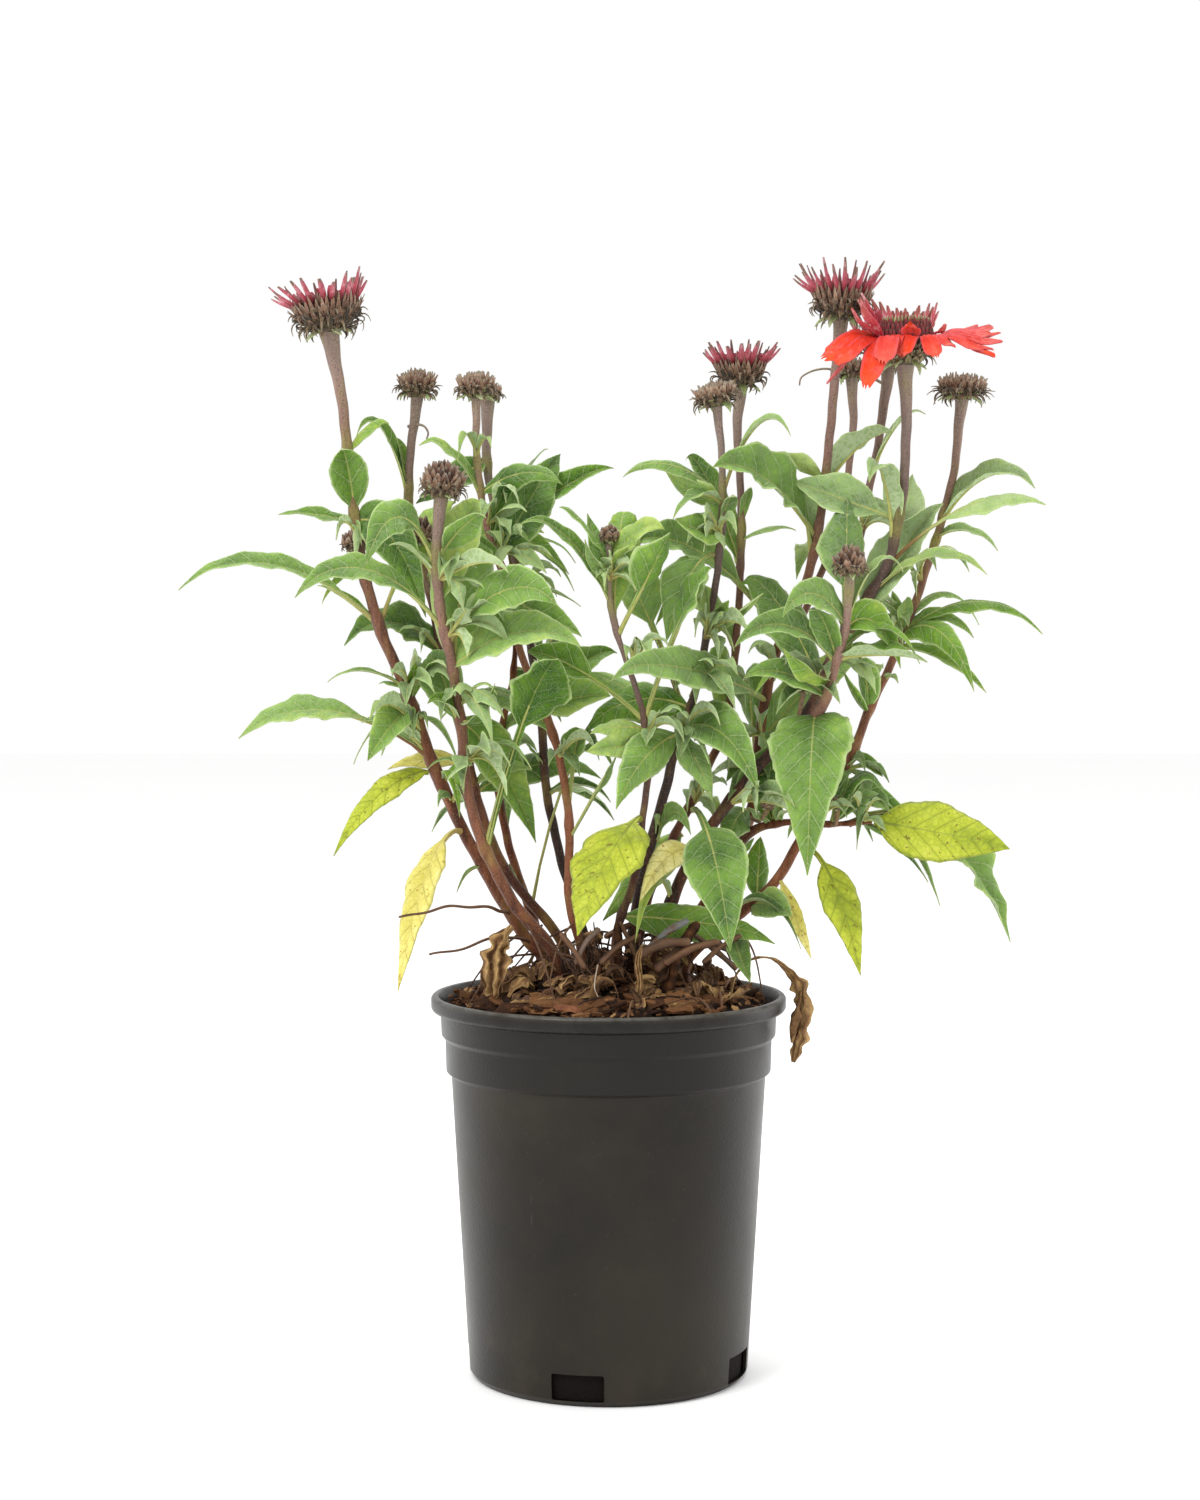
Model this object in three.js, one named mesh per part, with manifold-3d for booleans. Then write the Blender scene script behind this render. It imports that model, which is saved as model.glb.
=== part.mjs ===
// Coneflower clump in a nursery pot. Millimetres, +Z up, origin under the middle of the pot.
// Places on the plant are [across, up, depth]: across and up are read on the front elevation
// (the plane y = 0, drawn in one-point perspective from EYE), depth is the distance behind it.
import * as THREE from 'three';
import { mergeVertices } from 'three/addons/utils/BufferGeometryUtils.js';
import Module from 'manifold-3d';

const wasm = await Module();
wasm.setup();

const EYE = { x: -4, dist: 1320, z: 355 };
const GAP = 0.35;              // clear space kept between neighbouring pieces
const BLADE = 0.7;             // thickness of every leaf
const YELLOW_GAP = 0.8;        // from a stem to the start of a yellow leaf
const STEM_SIDES = 5;
const POT = { r: 83, top: 178.5, sides: 32, windowWidth: 24.4, windowLow: 2.6, windowHigh: 15 };
const POT_OUTSIDE = [[0, 0], [62.8, 0], [65.4, 3], [73.6, 141.5], [76, 143.2],
  [76.4, 158.2], [78.2, 160.2], [78.6, 170.5], [82.2, 171.6], [POT.r, 173], [POT.r, 177.3],
  [82, POT.top], [79.8, POT.top]];
const POT_INSIDE = [[76.9, 170], [76.5, 161.4], [74.7, 159.6], [74.3, 144.8], [72.1, 142.6],
  [63.8, 2.4], [0, 2.4]];
const WINDOWS = [-12.5, 67.5, -92.5, 167.5];   // drainage windows, degrees round from the front
const SOIL = { edge: 174.5, crown: 16, spread: 42, rough: 1.4, foot: 179, chips: 3, sides: 20 };

// route: places up the middle of the stem; r: radius at the foot and the top; flare: radius under
// the head; from: the stem it branches off. leaves: [up, tip across, tip up, tip depth, width,
// lift, roll, share of the length that is stalk]; on a level branch the first number is across.
const STEMS = {
  s1: { r: [3.3, 2.4], flare: 4.6,
    route: [[-28, 192, -3], [-38, 204, -4], [-53, 228, -6], [-81, 284, -10], [-94, 320, -10],
      [-106.5, 350, -10], [-112.5, 370, -10], [-117, 395, -10], [-124.5, 460, -10],
      [-129.3, 485.5, -10]],
    leaves: [[404, -124.5, 433, -26, 20, 7, -21], [431, -102, 445.5, -8, 9.5, 5, 32],
      [398, -153.5, 402.5, -22, 11, 2, 37], [352, -200, 368.5, -30, 15, 18, 35, 0.18],
      [373, -133.5, 361, 4, 8, 9, -15], [290, -172.5, 299, -28, 22, 16, 31, 0.35],
      [314, -112.5, 288, -24, 19, 2, 28], [276, -69.5, 261, -22, 9.5, 14, 28],
      [316, -90, 335, -24, 6.5, 1, 0], [315, -75.5, 332.5, -20, 7, 5, 20],
      [307, -70, 286, -2, 7, 7, -14], [351, -71, 408.5, 6, 20, 12, 46, 0.18],
      [399, -85, 354.5, -18, 25.5, 15, 66], [282, -106.5, 318, -3, 19, 9, 50, 0.36],
      [350, -135.5, 370, -3, 8, 2, 10]] },
  s2: { r: [3.2, 2.0], flare: 3.2,
    route: [[-24, 192, -13], [-45, 222, -18], [-57, 245, -21], [-64, 265, -23], [-69.5, 310, -28],
      [-74, 338, -32], [-78, 356, -36], [-79.8, 375, -39], [-79.5, 395, -41], [-77.8, 409, -42]],
    leaves: [[349, -146, 364.5, -58, 18, 19, 46, 0.2], [343, -24, 361, -64, 25.5, 14, 66, 0.2],
      [331, -13, 341, -56, 27, 11, 56], [381, -57, 403, -60, 16, 4, -28, 0.14],
      [378, -113, 378.5, -52, 21.5, 22, 56, 0.25], [372, -102, 388, -34, 12, 5, -10],
      [372, -63.5, 388, -32, 11, 6, 28], [306, -53, 324, -46, 8.5, -6, 0],
      [306, -84.5, 315, -42, 9, 5, 48], [245, -23, 336, -52, 34, 15, -18, 0.46],
      [328, -60.5, 386, -21, 32, 26, 57], [288, -85, 336, -6, 23, 11, 57, 0.24],
      [362, -59.5, 408.5, -26, 23, 9, 64]] },
  s3: { r: [2.7, 1.9], flare: 2.9,
    route: [[-19, 192, 9], [-50, 240, 10], [-59, 262, 10], [-68, 300, 12], [-78, 336, 16],
      [-81, 355, 18], [-93, 409, 22], [-92, 430, 22], [-89, 455.5, 22]],
    leaves: [[337, -123, 341.5, 8, 23, 13, 46], [411, -117, 439, 16, 9.5, 17, 36],
      [396, -112.5, 408, 14, 13, 3, -43], [388, -115.5, 398, 10, 14, 2, -29],
      [277, -36, 284, 6, 11.5, 3, 44], [307, -34, 249.5, 11, 25.5, 9, 66],
      [273, -3.5, 281.5, 29, 17, 9, 66], [379, -18.5, 375.5, 28, 21.5, 16, 50],
      [414, -99, 438, 26, 8, 4, 10], [330, -48.5, 360, 18, 23, 2, 57, 0.18]] },
  s4: { r: [2.6, 1.2],
    route: [[-31, 192, 18], [-47, 250, 22], [-52, 280, 24], [-50, 302, 26], [-45, 325, 28],
      [-43.5, 340, 30], [-46, 391, 33]],
    leaves: [[381, -15.5, 380, 24, 6.5, 7, 8], [300, -27, 297, 32, 13, 10, 28],
      [215, 2, 284.5, -22, 9, 36, 22, 0.49], [330, -22, 306, 38, 17.5, 8, -24]] },
  s5: { r: [2.4, 1.6], flare: 2.2,
    route: [[-12, 192, -5], [-19, 228, -7], [-18.2, 246, -7], [-22, 285, -6], [-28.5, 308, -5],
      [-39.5, 334, -4], [-48.5, 374, -2], [-53, 386, 0], [-59, 410, 2], [-61.3, 432, 2],
      [-61.5, 455.5, 2]],
    leaves: [[412, -88, 435.5, -8, 11, 8, 39], [428, -70, 427, -8, 7.5, 12, 0],
      [412, -21.5, 417, -14, 15, 7, 66], [393, -41.5, 406.5, -18, 9, 15, 0],
      [388, -36.5, 388.5, -14, 7, 6, 22], [380, -68, 396, -12, 9, 1, -10],
      [364, -12.5, 347.5, -24, 17, -1, 63], [312, 1, 318, -16, 24, 2, 63],
      [259, -12.5, 302, -6, 15.5, 9, 50, 0.42], [301, -78, 307.5, 9, 17, 16, 32],
      [382, -22.5, 431, 21, 25.5, 2, 66]] },
  s6: { r: [2.4, 2.1], flare: 3.5,
    route: [[-9, 192, 10], [-22.5, 243, 14], [-28, 268, 17], [-32, 315, 23], [-40, 362, 28],
      [-45, 388, 29], [-54, 410, 31], [-56.5, 430, 32], [-56, 454, 32]],
    leaves: [[285, -38.5, 296, 18, 8, 1, 0], [400, -28, 434, 26, 7.5, 4, 14], [398, 2.5, 427, 12, 16.5, 1, 66],
      [396, -30, 394, 20, 11, 2, -20], [319, 4, 341, 36, 19, 2, 50], [428, -89.5, 407.5, 25, 19, 0, 50]] },
  s7: { r: [2.3, 1.1], flare: 1.5,
    route: [[3, 192, -15], [4.5, 210, -16], [12, 232, -18], [15.5, 256, -20], [18.3, 297, -24],
      [10, 330, -28], [4.5, 345, -29], [1, 362, -30], [0.3, 389, -30]],
    leaves: [[362, -41.5, 398.5, -42, 9, 12, 58], [380, -23, 406, -38, 9, 5, 44],
      [378, 26, 396, -36, 15.5, 7, 52], [379, -10, 403, -26, 11, -3, 48],
      [376, -11, 391, -42, 9, -4, 0], [376, 9.5, 388.5, -42, 8, 0, 0],
      [345, 28.5, 394, -50, 24, 0, -13, 0.42], [306, 48, 379, -42, 23.5, 8, 50, 0.45],
      [308, -38, 339, -36, 19, 5, 63, 0.42], [303, -8.5, 302, -40, 13, 1, 56],
      [296, -10.5, 292, -46, 15.5, 0, 56], [356, 8.5, 401, -11, 21, 16, 10],
      [215, 78, 205, -11, 20.5, 2, 64]] },
  s8: { r: [2.8, 1.4], flare: 2.3,
    route: [[10, 192, -3], [28, 280, -10], [33, 300, -12], [38, 312, -13], [46, 348, -16],
      [52.5, 395, -20], [53, 420, -22], [50.5, 451.5, -22]],
    leaves: [[410, 6.5, 420, -38, 9, 10, 49], [409, 26, 424, -26, 15.5, -4, -45],
      [408, 30, 400.5, -38, 11, 7, 10], [394, 31, 401, -36, 18, -2, 66],
      [413, 84.5, 439, -36, 8, 12, 20, 0.2], [400, 59, 411.5, -30, 10, 3, 0],
      [350, 56, 363, -34, 10, 1, -14], [300, 3.5, 266.5, -58, 23, 7, 59],
      [301, 70, 273, -46, 26, 14, 49], [297, 48.5, 268.5, -36, 15.5, 6, 35],
      [296, 44, 272, -22, 9.5, 10, 7], [312, -12.5, 300, -16, 23.5, 10, 63],
      [308, 5, 379, -14, 25.5, 2, 34, 0.5], [250, 38.5, 253, -22, 11.5, 12, 66],
      [305, -11, 330, 8, 17, 2, 50], [384, 27, 343.5, -31, 25.5, 12, 57, 0.3]] },
  s9: { r: [2.4, 1.8], flare: 3.4,
    route: [[13, 192, 15], [15, 208, 14], [46, 284, 10], [55, 304, 10], [57.7, 325, 10],
      [61.7, 405, 8], [60, 448, 8], [61, 460.5, 8]],
    leaves: [[398, 66.5, 415, 2, 7, 4, -7], [390, 87, 395, -4, 7.5, 4, 18],
      [266, 57, 199.5, -60, 33.5, 8, 21, 0.38], [342, 22, 351, 4, 17, 16, 57],
      [380, 35.5, 431, 5, 15.5, 9, 66], [302, 50.5, 337, 16, 14, 16, 10],
      [254, -2.5, 213.5, 19, 23, 2, 64]] },
  s10: { r: [3.1, 2.2], flare: 3.6,
    route: [[30, 192, 14], [40, 212, 14], [60, 246, 14], [66, 262, 14], [69.5, 280, 13],
      [70, 293, 12], [79.5, 342, 8], [91, 368, 3], [96, 388, 0], [104.5, 460, -8],
      [107.5, 491.5, -8]],
    leaves: [[393, 48.5, 424.5, -46, 30, 10, 66, 0.1], [418, 78, 431, -18, 11, 1, -34],
      [345, 8, 388, -46, 21.5, 13, 66, 0.28], [316, 1, 330.5, -60, 23.5, 7, 66, 0.12],
      [385, 82, 412, -14, 23.5, 13, -25], [414, 132, 440.5, 4, 21, 6, -35],
      [290, 55, 278, 0, 12, 3, 34], [264, 54.5, 243.5, -18, 19, 8, 37, 0.1],
      [244, 68, 252, -4, 7, -5, 0], [276, 63, 321.5, 14, 25.5, 18, 64, 0.24],
      [296, 119, 338, 29, 24, 6, 50]] },
  s11: { r: [1.9, 1.7], flare: 3.0, from: 's10',
    route: [[79.5, 342, 8], [88, 352, 13], [96, 368, 17], [106, 397, 21], [111, 420, 23],
      [113.3, 440, 24], [112.8, 464.5, 24]],
    leaves: [] },
  s16: { r: [2.6, 1.0], from: 's10', level: true,
    route: [[62, 251, 13], [68, 255.5, 4], [76, 258, -6], [84, 259, -11], [104, 258, -16],
      [123, 259.5, -18]],
    leaves: [[77, 75, 281, -8, 7, 3, -7], [77, 67, 277, -2, 9.5, 2, 28], [104, 129, 271, -22, 13, 16, 24],
      [104, 118.5, 277, -14, 8.5, 3, 14], [103, 112, 281, -6, 7, 0, 0],
      [104, 133, 265, -4, 14.5, 9, 34], [117, 149.5, 231, -8, 8.5, 6, -7],
      [118, 155, 220, -2, 9.5, 14, -21], [112, 188, 203, -4, 29.5, 26, 46, 0.45]] },
  s13: { r: [3.1, 2.3], flare: 4.0,
    route: [[20, 192, -8], [25, 210, -8], [32, 228, -9], [45, 252, -10], [70, 285, -12],
      [88, 304, -12], [96, 316, -12], [101, 330, -12], [114, 350, -12], [121, 364, -13],
      [128, 375, -15], [134.5, 398, -19], [138.2, 450, -26], [137.7, 470.5, -28]],
    leaves: [[378, 203, 407.5, -36, 15, 13, 28, 0.34], [366, 176, 375, -34, 10.5, 12, 28, 0.1],
      [398, 141, 421, 6, 20.5, -4, 14], [392, 121, 417, 8, 18, 11, 14],
      [222, 12.5, 202.5, -38, 9, 5, 22], [357, 155.5, 408, -3, 23, 4, 57],
      [323, 61.5, 374, -3, 25.5, 11, 50], [242, 54, 290, 2, 25.5, 2, 66],
      [400, 85.5, 418, -10, 23, 0, 64, 0.18], [269, 123.5, 250.5, -13, 25.5, 25, 66]] },
  s12: { r: [2.0, 2.1], flare: 3.6, from: 's13',
    route: [[112, 347, -11], [113, 362, 2], [116, 385, 16], [119.5, 405, 26], [126, 440, 36],
      [130, 470.5, 38]],
    leaves: [] },
  s14: { r: [2.6, 1.7], flare: 2.0, from: 's13',
    route: [[87, 303, -13], [94, 306, -22], [99.5, 313, -30], [104, 326, -38], [110.5, 352, -49],
      [112.3, 373, -52]],
    leaves: [[309, 93, 234, -58, 43, 17, -7], [350, 111, 411, -20, 26.5, 0, 28, 0.4],
      [350, 137, 376, -42, 9.5, 15, 10], [348, 136, 331, -58, 18, 13, 64],
      [335, 145, 333, -46, 8.5, 15, 31], [334, 58.5, 341, -60, 15, 13, 60, 0.12],
      [335, 93, 358.5, -60, 14, 7, -28], [351, 81, 355, -64, 17.5, 12, 64],
      [365, 42, 376, -54, 33, 13, 66], [318, 63, 327, -54, 16, 6, 63], [317, 68, 318, -52, 10.5, 9, 36],
      [325, 81.5, 341, -50, 12, -3, -21], [336, 148.5, 334.5, -49, 19, 2, 10]] },
  s15: { r: [3.1, 1.9], flare: 3.2,
    route: [[36, 192, 3], [48, 206, 2], [66, 220, 1], [78, 231, 0], [89, 250, 0], [113.5, 290, 4],
      [120, 308, 6], [128, 325, 8], [154, 397, 12], [159.5, 418, 12], [163.6, 454.5, 12]],
    leaves: [[400, 198, 414.5, -8, 17.5, 13, 35], [392, 181, 386, 0, 9, 6, 29],
      [346, 202, 348, -8, 12.5, 15, 28, 0.12], [350, 172.5, 351, 22, 7, 12, 24],
      [347, 170, 345, 6, 12, 9, 38], [344, 170.5, 320, -24, 16, 17, 42], [341, 176, 320, -8, 12, 5, 21],
      [348, 139.5, 364, -6, 8, 4, 0], [348, 132, 367, 2, 11, 0, 0], [310, 128, 331, -8, 8.5, 8, 7],
      [310, 109, 331, -6, 7, -3, 0], [311, 118, 337, -10, 14, 4, 14], [292, 128, 281, -4, 11, -1, 22],
      [221, 86, 215, -26, 19, 2, 52], [213, 66.5, 186, -58, 12, -4, 10],
      [223, 71, 252.5, 13, 14, 2, 32], [265, 146.5, 243.5, 11, 19, 16, 50]] },
};

// leaves gone yellow: stem, then the same numbers as above
const YELLOW = {
  leaf_lime_left: ['s1', 283, -128.5, 243.5, -30, 14, 9, 38],
  leaf_straw_back: ['s3', 287, -103, 284, 12, 11, 3, 52],
  leaf_straw_left: ['s1', 256, -98.5, 180, -48, 22, 20, -12, 0.28],
  leaf_lime_front: ['s7', 262, -14.5, 206.5, -66, 38, 8, 0, 0.12],
  leaf_straw_folded: ['s13', 246, 14.5, 222, -42, 14, 8, 46],
  leaf_lime_right: ['s16', 123, 187.5, 248, -34, 30, 0, 62],
  leaf_lime_hanging: ['s15', 249, 118, 187, -28, 19, 14, 26, 0.34],
  leaf_straw_narrow: ['s15', 232, 95, 195, -24, 8, 0, 14],
};

// heads: stem, radius, height, lean to the right in degrees, form
const HEADS = {
  a: ['s1', 15.5, 17, -7, 'half'], b: ['s3', 8.2, 12.5, 2, 'bud'], c: ['s5', 8.2, 11.5, 0, 'bud'],
  d: ['s6', 6.2, 8.5, 0, 'bud'], e: ['s2', 8.6, 13, 6, 'bud'], f: ['s9', 11.5, 13.5, 0, 'half'],
  g: ['s8', 9, 11, -10, 'bud'], h: ['s10', 13, 16, 2, 'half'], i: ['s14', 6.6, 10.5, 0, 'bud'],
  j: ['s13', 13, 17, 0, 'open'], k: ['s15', 10.5, 11.5, 3, 'bud'],
  l: ['s12', 12.5, 15, 0, 'half'], m: ['s11', 7.5, 9, 0, 'bud'], n: ['s7', 3.8, 6, 0, 'bud'],
};
// ray florets of the half-open heads: how many, length, outward lean at the left and the right
const RAYS = { a: [14, 13, 55, 28], f: [13, 11, 42, 44], h: [14, 15, 48, 30], l: [12, 14, 40, 34] };
// ray florets of the open head: degrees round from the right (away is +90), reach, drop, width,
// and how far the upper face turns to the front
const OPEN_RAYS = [[-172, 27, 10.5, 13, 42], [158, 14, -2, 8, 20], [-125, 14, 25.5, 11.5, 10],
  [-141, 12, 10, 9, 10], [-116, 5.5, 12, 8, 0], [-92, 4, 13, 11, 0], [-40, 10, 12.5, 6.5, 20],
  [-70, 4.5, -5.5, 5, 0], [8, 28, -0.5, 6, 35], [-6, 29.5, 3, 6, 35], [-16, 28, 11, 6.5, 30],
  [38, 6, -10, 5, 0], [-125, 13, -14, 4.2, 0], [170, 17, 21, 5, 0]];

// leaves of the far side, by rule: every BACK.step up each stem
const BACK = { stems: ['s3', 's4', 's6', 's9', 's10', 's15'], low: 262, high: 415,
  step: 118, length: [30, 46], width: [8.5, 11.8], drop: [4, 20] };

// tip depth and lift tried in turn until a leaf hangs clear of its neighbours
const BENDS = [[0, 0], [5, 0], [-5, 0], [0, 4], [10, 0], [-10, 0], [5, 5], [-5, 5], [0, -4],
  [15, 3], [-15, 3], [20, 0], [-20, 0], [10, 8], [-10, 8], [26, 4], [-26, 4], [0, 9], [32, 0],
  [-32, 0], [18, 10], [-18, 10], [0, 14], [40, 6], [-40, 6]];

const PAINT = {
  pot: ['#2e2e2d', 0.55], soil: ['#3a2a20', 0.95], leaf: ['#5f8f3c', 0.6],
  lime: ['#b7c23a', 0.6], straw: ['#e4dc86', 0.65], disc: ['#6a4534', 0.85],
  ray: ['#c04a5c', 0.6], open: ['#ee5a3a', 0.55], chip: ['#a3825a', 0.9],
  brick: ['#8a4c2c', 0.9], dead: ['#7c5c3c', 0.85],
};

const V = (x, y, z) => new THREE.Vector3(x, y, z);
const UP = V(0, 0, 1);
const rad = (deg) => deg * Math.PI / 180;

// repeatable number from 0 to 1 for a counter n
function chance(n) {
  const s = Math.sin(n * 12.9898 + 4.1414) * 43758.5453;
  return s - Math.floor(s);
}
const between = (range, n) => range[0] + (range[1] - range[0]) * chance(n);

// a place on the elevation, brought to its depth along the line of sight
function place([across, up, depth]) {
  const k = (EYE.dist + depth) / EYE.dist;
  return V(EYE.x + (across - EYE.x) * k, depth, EYE.z + (up - EYE.z) * k);
}

// ---- solids --------------------------------------------------------------------------------

function solid(points, triangles) {
  let volume = 0;
  for (const [a, b, c] of triangles) volume += points[a].dot(points[b].clone().cross(points[c]));
  const out = volume < 0 ? triangles.map(([a, b, c]) => [a, c, b]) : triangles;
  return new wasm.Manifold(new wasm.Mesh({ numProp: 3,
    vertProperties: Float32Array.from(points.flatMap((p) => [p.x, p.y, p.z])),
    triVerts: Uint32Array.from(out.flat()) }));
}

function fromGeometry(geometry) {
  geometry.deleteAttribute('normal');
  geometry.deleteAttribute('uv');
  const merged = mergeVertices(geometry, 1e-4);
  return new wasm.Manifold(new wasm.Mesh({ numProp: 3,
    vertProperties: Float32Array.from(merged.attributes.position.array),
    triVerts: Uint32Array.from(merged.index.array) }));
}

const joined = (list) => list.slice(1).reduce((all, one) => all.add(one), list[0]);

// the body without the loose scraps that joining can leave
function whole(body) {
  const volume = (one) => Math.abs(one.volume());
  return body.decompose().reduce((most, one) => (volume(one) > volume(most) ? one : most));
}

// rings of points closed with a flat end at each side
function loft(rings) {
  const n = rings[0].length;
  const triangles = [];
  for (let i = 0; i < rings.length - 1; i++) {
    for (let j = 0; j < n; j++) {
      const k = (j + 1) % n;
      const [a, b, c, d] = [i * n + j, i * n + k, (i + 1) * n + j, (i + 1) * n + k];
      triangles.push([a, b, d], [a, d, c]);
    }
  }
  const last = (rings.length - 1) * n;
  for (let j = 1; j < n - 1; j++) {
    triangles.push([0, j + 1, j], [last, last + j, last + j + 1]);
  }
  return solid(rings.flat(), triangles);
}

function ring(centre, direction, radius, sides) {
  const a = direction.clone().cross(V(0, 1, 0)).normalize();
  const b = direction.clone().cross(a).normalize();
  return Array.from({ length: sides }, (_, j) => {
    const t = 2 * Math.PI * j / sides;
    return centre.clone().addScaledVector(a, radius * Math.cos(t))
      .addScaledVector(b, radius * Math.sin(t));
  });
}

function tube(path, radii, sides) {
  return loft(path.map((p, i) => {
    const before = path[Math.max(0, i - 1)];
    const after = path[Math.min(path.length - 1, i + 1)];
    return ring(p, after.clone().sub(before).normalize(), radii[i], sides);
  }));
}

// a thin sheet: rows of one to three points across it, thickened along each row's normal; its
// two faces are split into triangles alike
function sheet(rows, normals, half) {
  const first = rows.map((_, i) => rows.slice(0, i).flat().length);
  const under = rows.flat().length;
  const points = [1, -1].flatMap((side) => rows.flatMap((row, i) => (
    row.map((p) => p.clone().addScaledVector(normals[i], side * half)))));
  const triangles = [];
  const face = (a, b, c) => triangles.push([a, b, c], [under + a, under + c, under + b]);
  const wall = (a, b) => triangles.push([a, b, under + b], [a, under + b, under + a]);
  for (let i = 0; i < rows.length - 1; i++) {
    const [m, n] = [rows[i].length - 1, rows[i + 1].length - 1];
    const [a, b] = [first[i], first[i + 1]];
    let [j, k] = [0, 0];
    while (j < m || k < n) {
      if (k === n || (j < m && (j + 0.5) / m <= (k + 0.5) / n)) {
        face(a + j, a + j + 1, b + k);
        j += 1;
      } else {
        face(a + j, b + k + 1, b + k);
        k += 1;
      }
    }
    wall(a, b);
    wall(b + n, a + m);
  }
  const end = first[rows.length - 1];
  for (let j = 1; j < rows[0].length; j++) wall(j, j - 1);
  for (let j = 1; j < rows[rows.length - 1].length; j++) wall(end + j - 1, end + j);
  return solid(points, triangles);
}

// ---- pot and soil --------------------------------------------------------------------------

function turned(profile, sides) {
  const lathe = new THREE.LatheGeometry(profile.map(([r, z]) => new THREE.Vector2(r, z)), sides);
  return fromGeometry(lathe.rotateX(Math.PI / 2));
}

function pot() {
  const windows = WINDOWS.map((deg) => {
    const box = new THREE.BoxGeometry(POT.windowWidth, 16, POT.windowHigh - POT.windowLow);
    box.translate(0, -66, (POT.windowHigh + POT.windowLow) / 2);
    return fromGeometry(box.rotateZ(rad(deg)));
  });
  return turned([...POT_OUTSIDE, ...POT_INSIDE], POT.sides).subtract(joined(windows));
}

function soilHeight(x, y) {
  const r = Math.hypot(x, y);
  const lumps = Math.sin(x * 0.31 + 1) * Math.cos(y * 0.27 + 2) + Math.sin(x * 0.13 - y * 0.19);
  return SOIL.edge + SOIL.crown * Math.exp(-((r / SOIL.spread) ** 2))
    + SOIL.rough * lumps * Math.min(1, (78 - r) / 12);
}

function soilBody() {
  const radii = [12, 26, 40, 54, 66, 75.9];
  const { sides } = SOIL;
  const around = (r, z) => Array.from({ length: sides }, (_, j) => {
    const t = 2 * Math.PI * j / sides;
    const [x, y] = [r * Math.cos(t), r * Math.sin(t)];
    return V(x, y, z === null ? soilHeight(x, y) : z);
  });
  const wall = [[63, 2.8], [71.6, 142.8], [73.8, 145.2], [74.1, 159.8], [75.9, 162]];
  return loft([...wall.map(([r, z]) => around(r, z)),
    ...radii.slice().reverse().map((r) => around(r, null))]);
}

function chipBlock(n) {
  const [length, width, thick] = [between([8, 17], n), between([4, 8], n + 1), 3.2];
  const t = 2 * Math.PI * chance(n + 2);
  const r = 16 + 46 * Math.sqrt(chance(n + 3));
  const [x, y] = [r * Math.cos(t), r * Math.sin(t)];
  const box = new THREE.BoxGeometry(length, width, thick);
  box.rotateX(rad(between([-20, 20], n + 4)));
  box.rotateY(rad(between([-22, 22], n + 5)));
  box.rotateZ(2 * Math.PI * chance(n + 6));
  return fromGeometry(box.translate(x, y, soilHeight(x, y) + 0.6));
}

// dead stubs and roots standing in the litter, fused with it
const STUBS = [
  [[4, 170, -24], [5, 192, -25], [4, 212, -26]], [[26, 168, -28], [33, 198, -29], [42, 212, -28]],
  [[12.5, 176, -4], [12.5, 198, -6], [13, 217, -8]], [[-6, 172, -26], [0, 197, -29], [9, 195, -34]],
];
const STUB_RADII = [2.1, 2.9, 1.9, 1.0];

function soil(holes) {
  const chips = Array.from({ length: SOIL.chips }, (_, i) => chipBlock(100 + 9 * i));
  const stubs = STUBS.map((route, i) => {
    const r = STUB_RADII[i];
    return tube(route.map(place), [r * 1.1, r, r * 0.85], STEM_SIDES);
  });
  return joined([soilBody(), ...chips, ...stubs]).subtract(joined(holes));
}

// ---- stems ---------------------------------------------------------------------------------

function stemPath(name) {
  const stem = STEMS[name];
  const path = stem.route.map(place);
  if (!stem.from) path.unshift(V(path[0].x, path[0].y, SOIL.foot));
  return path;
}

function stemRadii(name, grow = 0) {
  const stem = STEMS[name];
  const n = stemPath(name).length;
  return Array.from({ length: n }, (_, i) => {
    const r = stem.r[0] + (stem.r[1] - stem.r[0]) * i / (n - 1);
    return (stem.flare && i === n - 1 ? stem.flare : r) + grow;
  });
}

const stemSolid = (name) => tube(stemPath(name), stemRadii(name), STEM_SIDES);

function hole(name) {
  const path = stemPath(name).slice(0, 4);
  path[0] = path[0].clone().setZ(SOIL.foot - GAP);
  return tube(path, stemRadii(name, GAP * 1.25).slice(0, 4), STEM_SIDES);
}

// the middle and the radius of a stem at a height, or at an across for a level branch
function onStem(name, at) {
  const stem = STEMS[name];
  const axis = stem.level ? 0 : 1;
  const route = stem.route;
  let i = 0;
  while (i < route.length - 2 && route[i + 1][axis] < at) i++;
  const t = (at - route[i][axis]) / (route[i + 1][axis] - route[i][axis]);
  const point = place(route[i]).lerp(place(route[i + 1]), t);
  return { point, radius: stem.r[0] + (stem.r[1] - stem.r[0]) * (i + t) / (route.length - 1) };
}

// ---- leaves --------------------------------------------------------------------------------

// share of the blade length, share of the full width
const LARGE = [[0, 0.13], [0.27, 0.95], [0.62, 0.8], [1, 0]];
const SMALL = [[0, 0.2], [0.35, 1], [0.72, 0.6], [1, 0]];
const TINY = [[0, 0.3], [0.42, 1], [1, 0]];
const RIBBED = 24;                 // from this width a leaf is folded along its rib

function curve(start, tip, lift) {
  const way = tip.clone().sub(start);
  const a = start.clone().addScaledVector(way, 0.33);
  const b = start.clone().addScaledVector(way, 0.75);
  a.z += lift * 4 / 3;
  b.z += lift * 4 / 3;
  return new THREE.CubicBezierCurve3(start, a, b, tip);
}

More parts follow.
